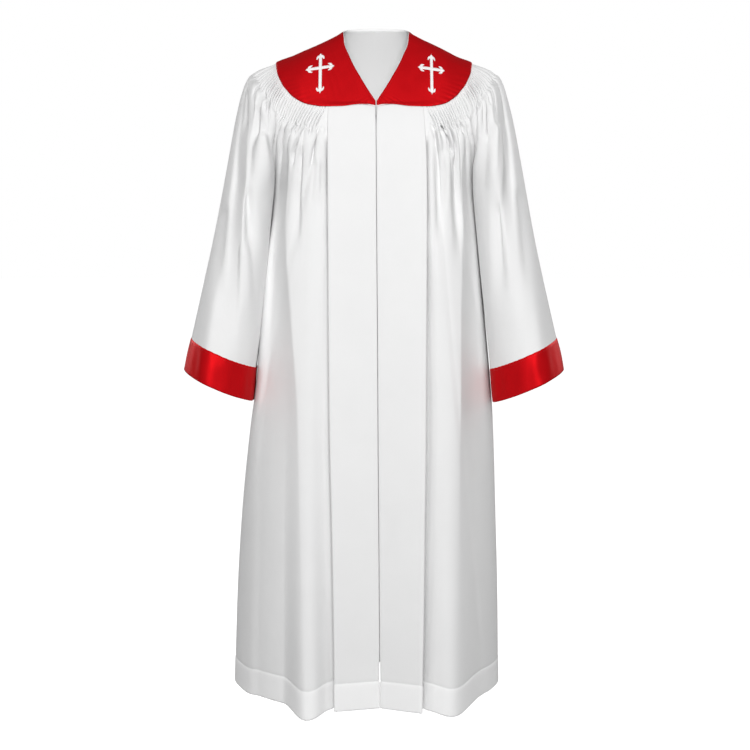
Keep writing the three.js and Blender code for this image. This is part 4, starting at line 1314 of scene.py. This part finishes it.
def limb(start, bend, end, halves):
    """Points of a padded limb in the cross's plane: a quadratic line, and half widths along it."""
    start, bend, end = (np.array(corner, float) for corner in (start, bend, end))
    length = np.linalg.norm(end - start)
    t = np.linspace(0, 1, int(length / CROSS["pitch"] * 5) + 2)[:, None]
    middle = start * (1 - t) ** 2 + 2 * bend * t * (1 - t) + end * t**2
    way = np.gradient(middle, axis=0)
    way /= np.linalg.norm(way, axis=1, keepdims=True)
    across = np.stack([-way[:, 1], way[:, 0]], -1)
    half = np.interp(t[:, 0], np.linspace(0, 1, len(halves)), halves)
    ridge = 0.1 * np.cos(2 * np.pi * t[:, 0] * length / CROSS["pitch"])
    ring = []
    for angle in np.radians(np.linspace(0, 360, 15)):
        flat = 0.25 if math.sin(angle) < 0 else 1
        rise = CROSS["thick"] * math.sin(angle) * flat * ease(half / 1.6)
        swell = ridge * max(math.sin(angle), 0) ** 0.5 if flat == 1 else 0
        side = middle + across * ((half + ridge * 0.6) * math.cos(angle))[:, None]
        ring.append(np.concatenate([side, (rise + swell)[:, None]], axis=1))
    return np.stack(ring, 1)


# %% Limbs of a cross
def cross_limbs():
    above, below, side, half = CROSS["above"], CROSS["below"], CROSS["side"], CROSS["half"]
    shaft = [0.4, 2.0, 3.0, 3.2, 2.8] + [half] * 16 + [2.8, 3.2, 3.0, 2.0, 0.4]
    bar = [0.4, 2.7, 3.2, 2.6] + [half] * 8 + [2.6, 3.2, 2.7, 0.4]
    limbs = [limb((-side, 0), (0, 0), (side, 0), bar), limb((0, -below), (0, 0), (0, above), shaft)]
    for way, reach in (((1, 0), side), ((-1, 0), side), ((0, 1), above), ((0, -1), below)):
        way = np.array(way, float)
        aside = np.array([-way[1], way[0]])
        for hand in (-1, 1):
            root = way * (reach - 4.4) + aside * hand * 1.2
            bend = way * (reach - 5.2) + aside * hand * 5.0
            tip = way * (reach - 11.3) + aside * hand * 6.3
            limbs.append(limb(root, bend, tip, [1.1, 1.9, 2.1, 1.7, 0.7]))
    return limbs


def cross(side):
    mesh = bmesh.new()
    tilt = math.tan(math.radians(CROSS_TILT[side]))
    for points in cross_limbs():
        x, up, rise = points[..., 0], points[..., 1], points[..., 2]
        outward, height = CROSS["x"] - x, CROSS_Z[side] + up + x * tilt
        ground = on_yoke(outward, height)
        down = on_yoke(outward, height - 1) - ground
        sideways = on_yoke(outward + 1, height) - ground
        normal = np.cross(down, sideways)
        normal /= np.linalg.norm(normal, axis=2, keepdims=True)
        solid = placed(ground + normal * (1.0 + rise)[..., None], side)
        one = grid_mesh("limb", solid, False)
        joined_up(one)
        mesh.from_mesh(one)
        bpy.data.meshes.remove(one)
    bmesh.ops.holes_fill(mesh, edges=[edge for edge in mesh.edges if edge.is_boundary], sides=0)
    bmesh.ops.recalc_face_normals(mesh, faces=mesh.faces[:])
    data = bpy.data.meshes.new(f"cross_stitched_{side}")
    mesh.to_mesh(data)
    mesh.free()
    return finished(f"cross_stitched_{side}", data, finishes["white thread"], f"cross_{side}")


for side in ("right", "left"):
    cross(side)

# %% [markdown]
# ## Stitches
# Every edge that is sewn from outside shows a row of stitches. One stitch is a small stretched ball
# laid along its row, and a row of them is one piece.


# %% Rows of stitches
def one_stitch():
    mesh = bmesh.new()
    mesh.loops.layers.uv.new("cloth")
    bmesh.ops.create_uvsphere(mesh, u_segments=6, v_segments=4, radius=1, calc_uvs=True)
    data = bpy.data.meshes.new("one stitch")
    mesh.to_mesh(data)
    mesh.free()
    return data


STITCH = one_stitch()


def stitch_row(mesh, points, normals, pitch, length, width):
    run = np.concatenate([[0], np.cumsum(np.linalg.norm(np.diff(points, axis=0), axis=1))])
    for middle in np.arange(pitch, run[-1] - pitch / 2, pitch):
        place = Vector([np.interp(middle, run, points[:, axis]) for axis in range(3)])
        ahead = Vector([np.interp(middle + 0.5, run, points[:, axis]) for axis in range(3)])
        up = Vector([np.interp(middle, run, normals[:, axis]) for axis in range(3)]).normalized()
        way = (ahead - place).normalized()
        side = up.cross(way).normalized()
        turn = Matrix((way, side, way.cross(side))).transposed().to_4x4()
        shape = Matrix.Diagonal((length / 2 * MM, width / 2 * MM, width / 2 * MM, 1))
        whole = Matrix.Translation(place * MM) @ turn @ shape
        STITCH.transform(whole)
        mesh.from_mesh(STITCH)
        STITCH.transform(whole.inverted())


def stitches(name, rows, thread):
    mesh = bmesh.new()
    for points, normals, side, pitch, length, width in rows:
        raised = points + normals * 0.5
        ends = placed(raised + normals, side) - placed(raised, side)
        stitch_row(mesh, placed(raised, side), ends, pitch, length, width)
    bmesh.ops.recalc_face_normals(mesh, faces=mesh.faces[:])
    data = bpy.data.meshes.new(name)
    mesh.to_mesh(data)
    mesh.free()
    data.shade_smooth()
    finished(name, data, finishes[thread])


def inside_edge(points, normal, distance, from_neck):
    """The line at a distance inside the neck edge or the lower edge of a yoke piece."""
    run = runs_of(points, 0)
    column = np.arange(run.shape[1])
    share = []
    for line in run.T:
        share.append(np.interp(distance if from_neck else line[-1] - distance, line, np.arange(len(line))))
    low = np.clip(np.array(share).astype(int), 0, len(run) - 2)
    part = (np.array(share) - low)[:, None]
    line = mix(points[low, column], points[low + 1, column], part)
    return line, mix(normal[low, column], normal[low + 1, column], part)


# %% Sew the rows
TOPSTITCH = (3.0, 2.3, 0.42)
HEM_STITCH = (9.0, 1.2, 0.3)
yoke_rows = []
for place, (points, normal) in yokes.items():
    side = "right" if place == "front_right" else "left"
    yoke_rows.append((*inside_edge(points, normal, 4, True), side, *TOPSTITCH))
    yoke_rows.append((*inside_edge(points, normal, 2.6, False), side, *TOPSTITCH))
# The red thread is darker than the satin, partly as painted shade: the row 2.6 mm inside the lower edge
# deepens the edge's dark line.
stitches("yoke_stitches", yoke_rows, "red thread darkened as painted shade")

cuff_row = int(np.searchsorted(cuff_levels, CUFF_AT + 3))
cuff_rows = []
for side, (_, face, normal) in cuffs.items():
    cuff_rows.append((face[cuff_row], normal[cuff_row], side, *TOPSTITCH))
stitches("cuff_stitches", cuff_rows, "red thread darkened as painted shade")

hem_rows = []
for side, face, normal in (
    ("right", *fronts["right"][1:]),
    ("left", *fronts["left"][1:]),
    ("left", back_face, back_normal),
):
    hem_rows.append((face[hem_line], normal[hem_line], side, *HEM_STITCH))
stitches("hem_stitches", hem_rows, "white thread")

# %% [markdown]

# %% [markdown]
# ## Floor
# A plain pale floor lies below the hem, where the feet of a wearer would stand. It belongs to the
# stage, not to the robe.

# %% Floor
FLOOR_Z = -1.5
floor_mesh = bmesh.new()
level = Matrix.Translation((0, 0, FLOOR_Z))
bmesh.ops.create_grid(floor_mesh, x_segments=1, y_segments=1, size=60, matrix=level)
floor_data = bpy.data.meshes.new("floor")
floor_mesh.to_mesh(floor_data)
floor_mesh.free()
floor = bpy.data.objects.new("floor", floor_data)
bpy.context.scene.collection.objects.link(floor)
floor_finish = bpy.data.materials.new("pale floor")
floor_finish.use_nodes = True
floor_shader = floor_finish.node_tree.nodes["Principled BSDF"]
floor_shader.inputs["Base Color"].default_value = (0.5, 0.5, 0.5, 1)
floor_shader.inputs["Roughness"].default_value = 0.9
floor_shader.inputs["Emission Color"].default_value = (1, 1, 1, 1)
camera_sees = floor_finish.node_tree.nodes.new("ShaderNodeLightPath")
glow = math_node(floor_finish.node_tree, "MULTIPLY", camera_sees.outputs["Is Camera Ray"], 1.0)
floor_finish.node_tree.links.new(glow, floor_shader.inputs["Emission Strength"])
floor_data.materials.append(floor_finish)
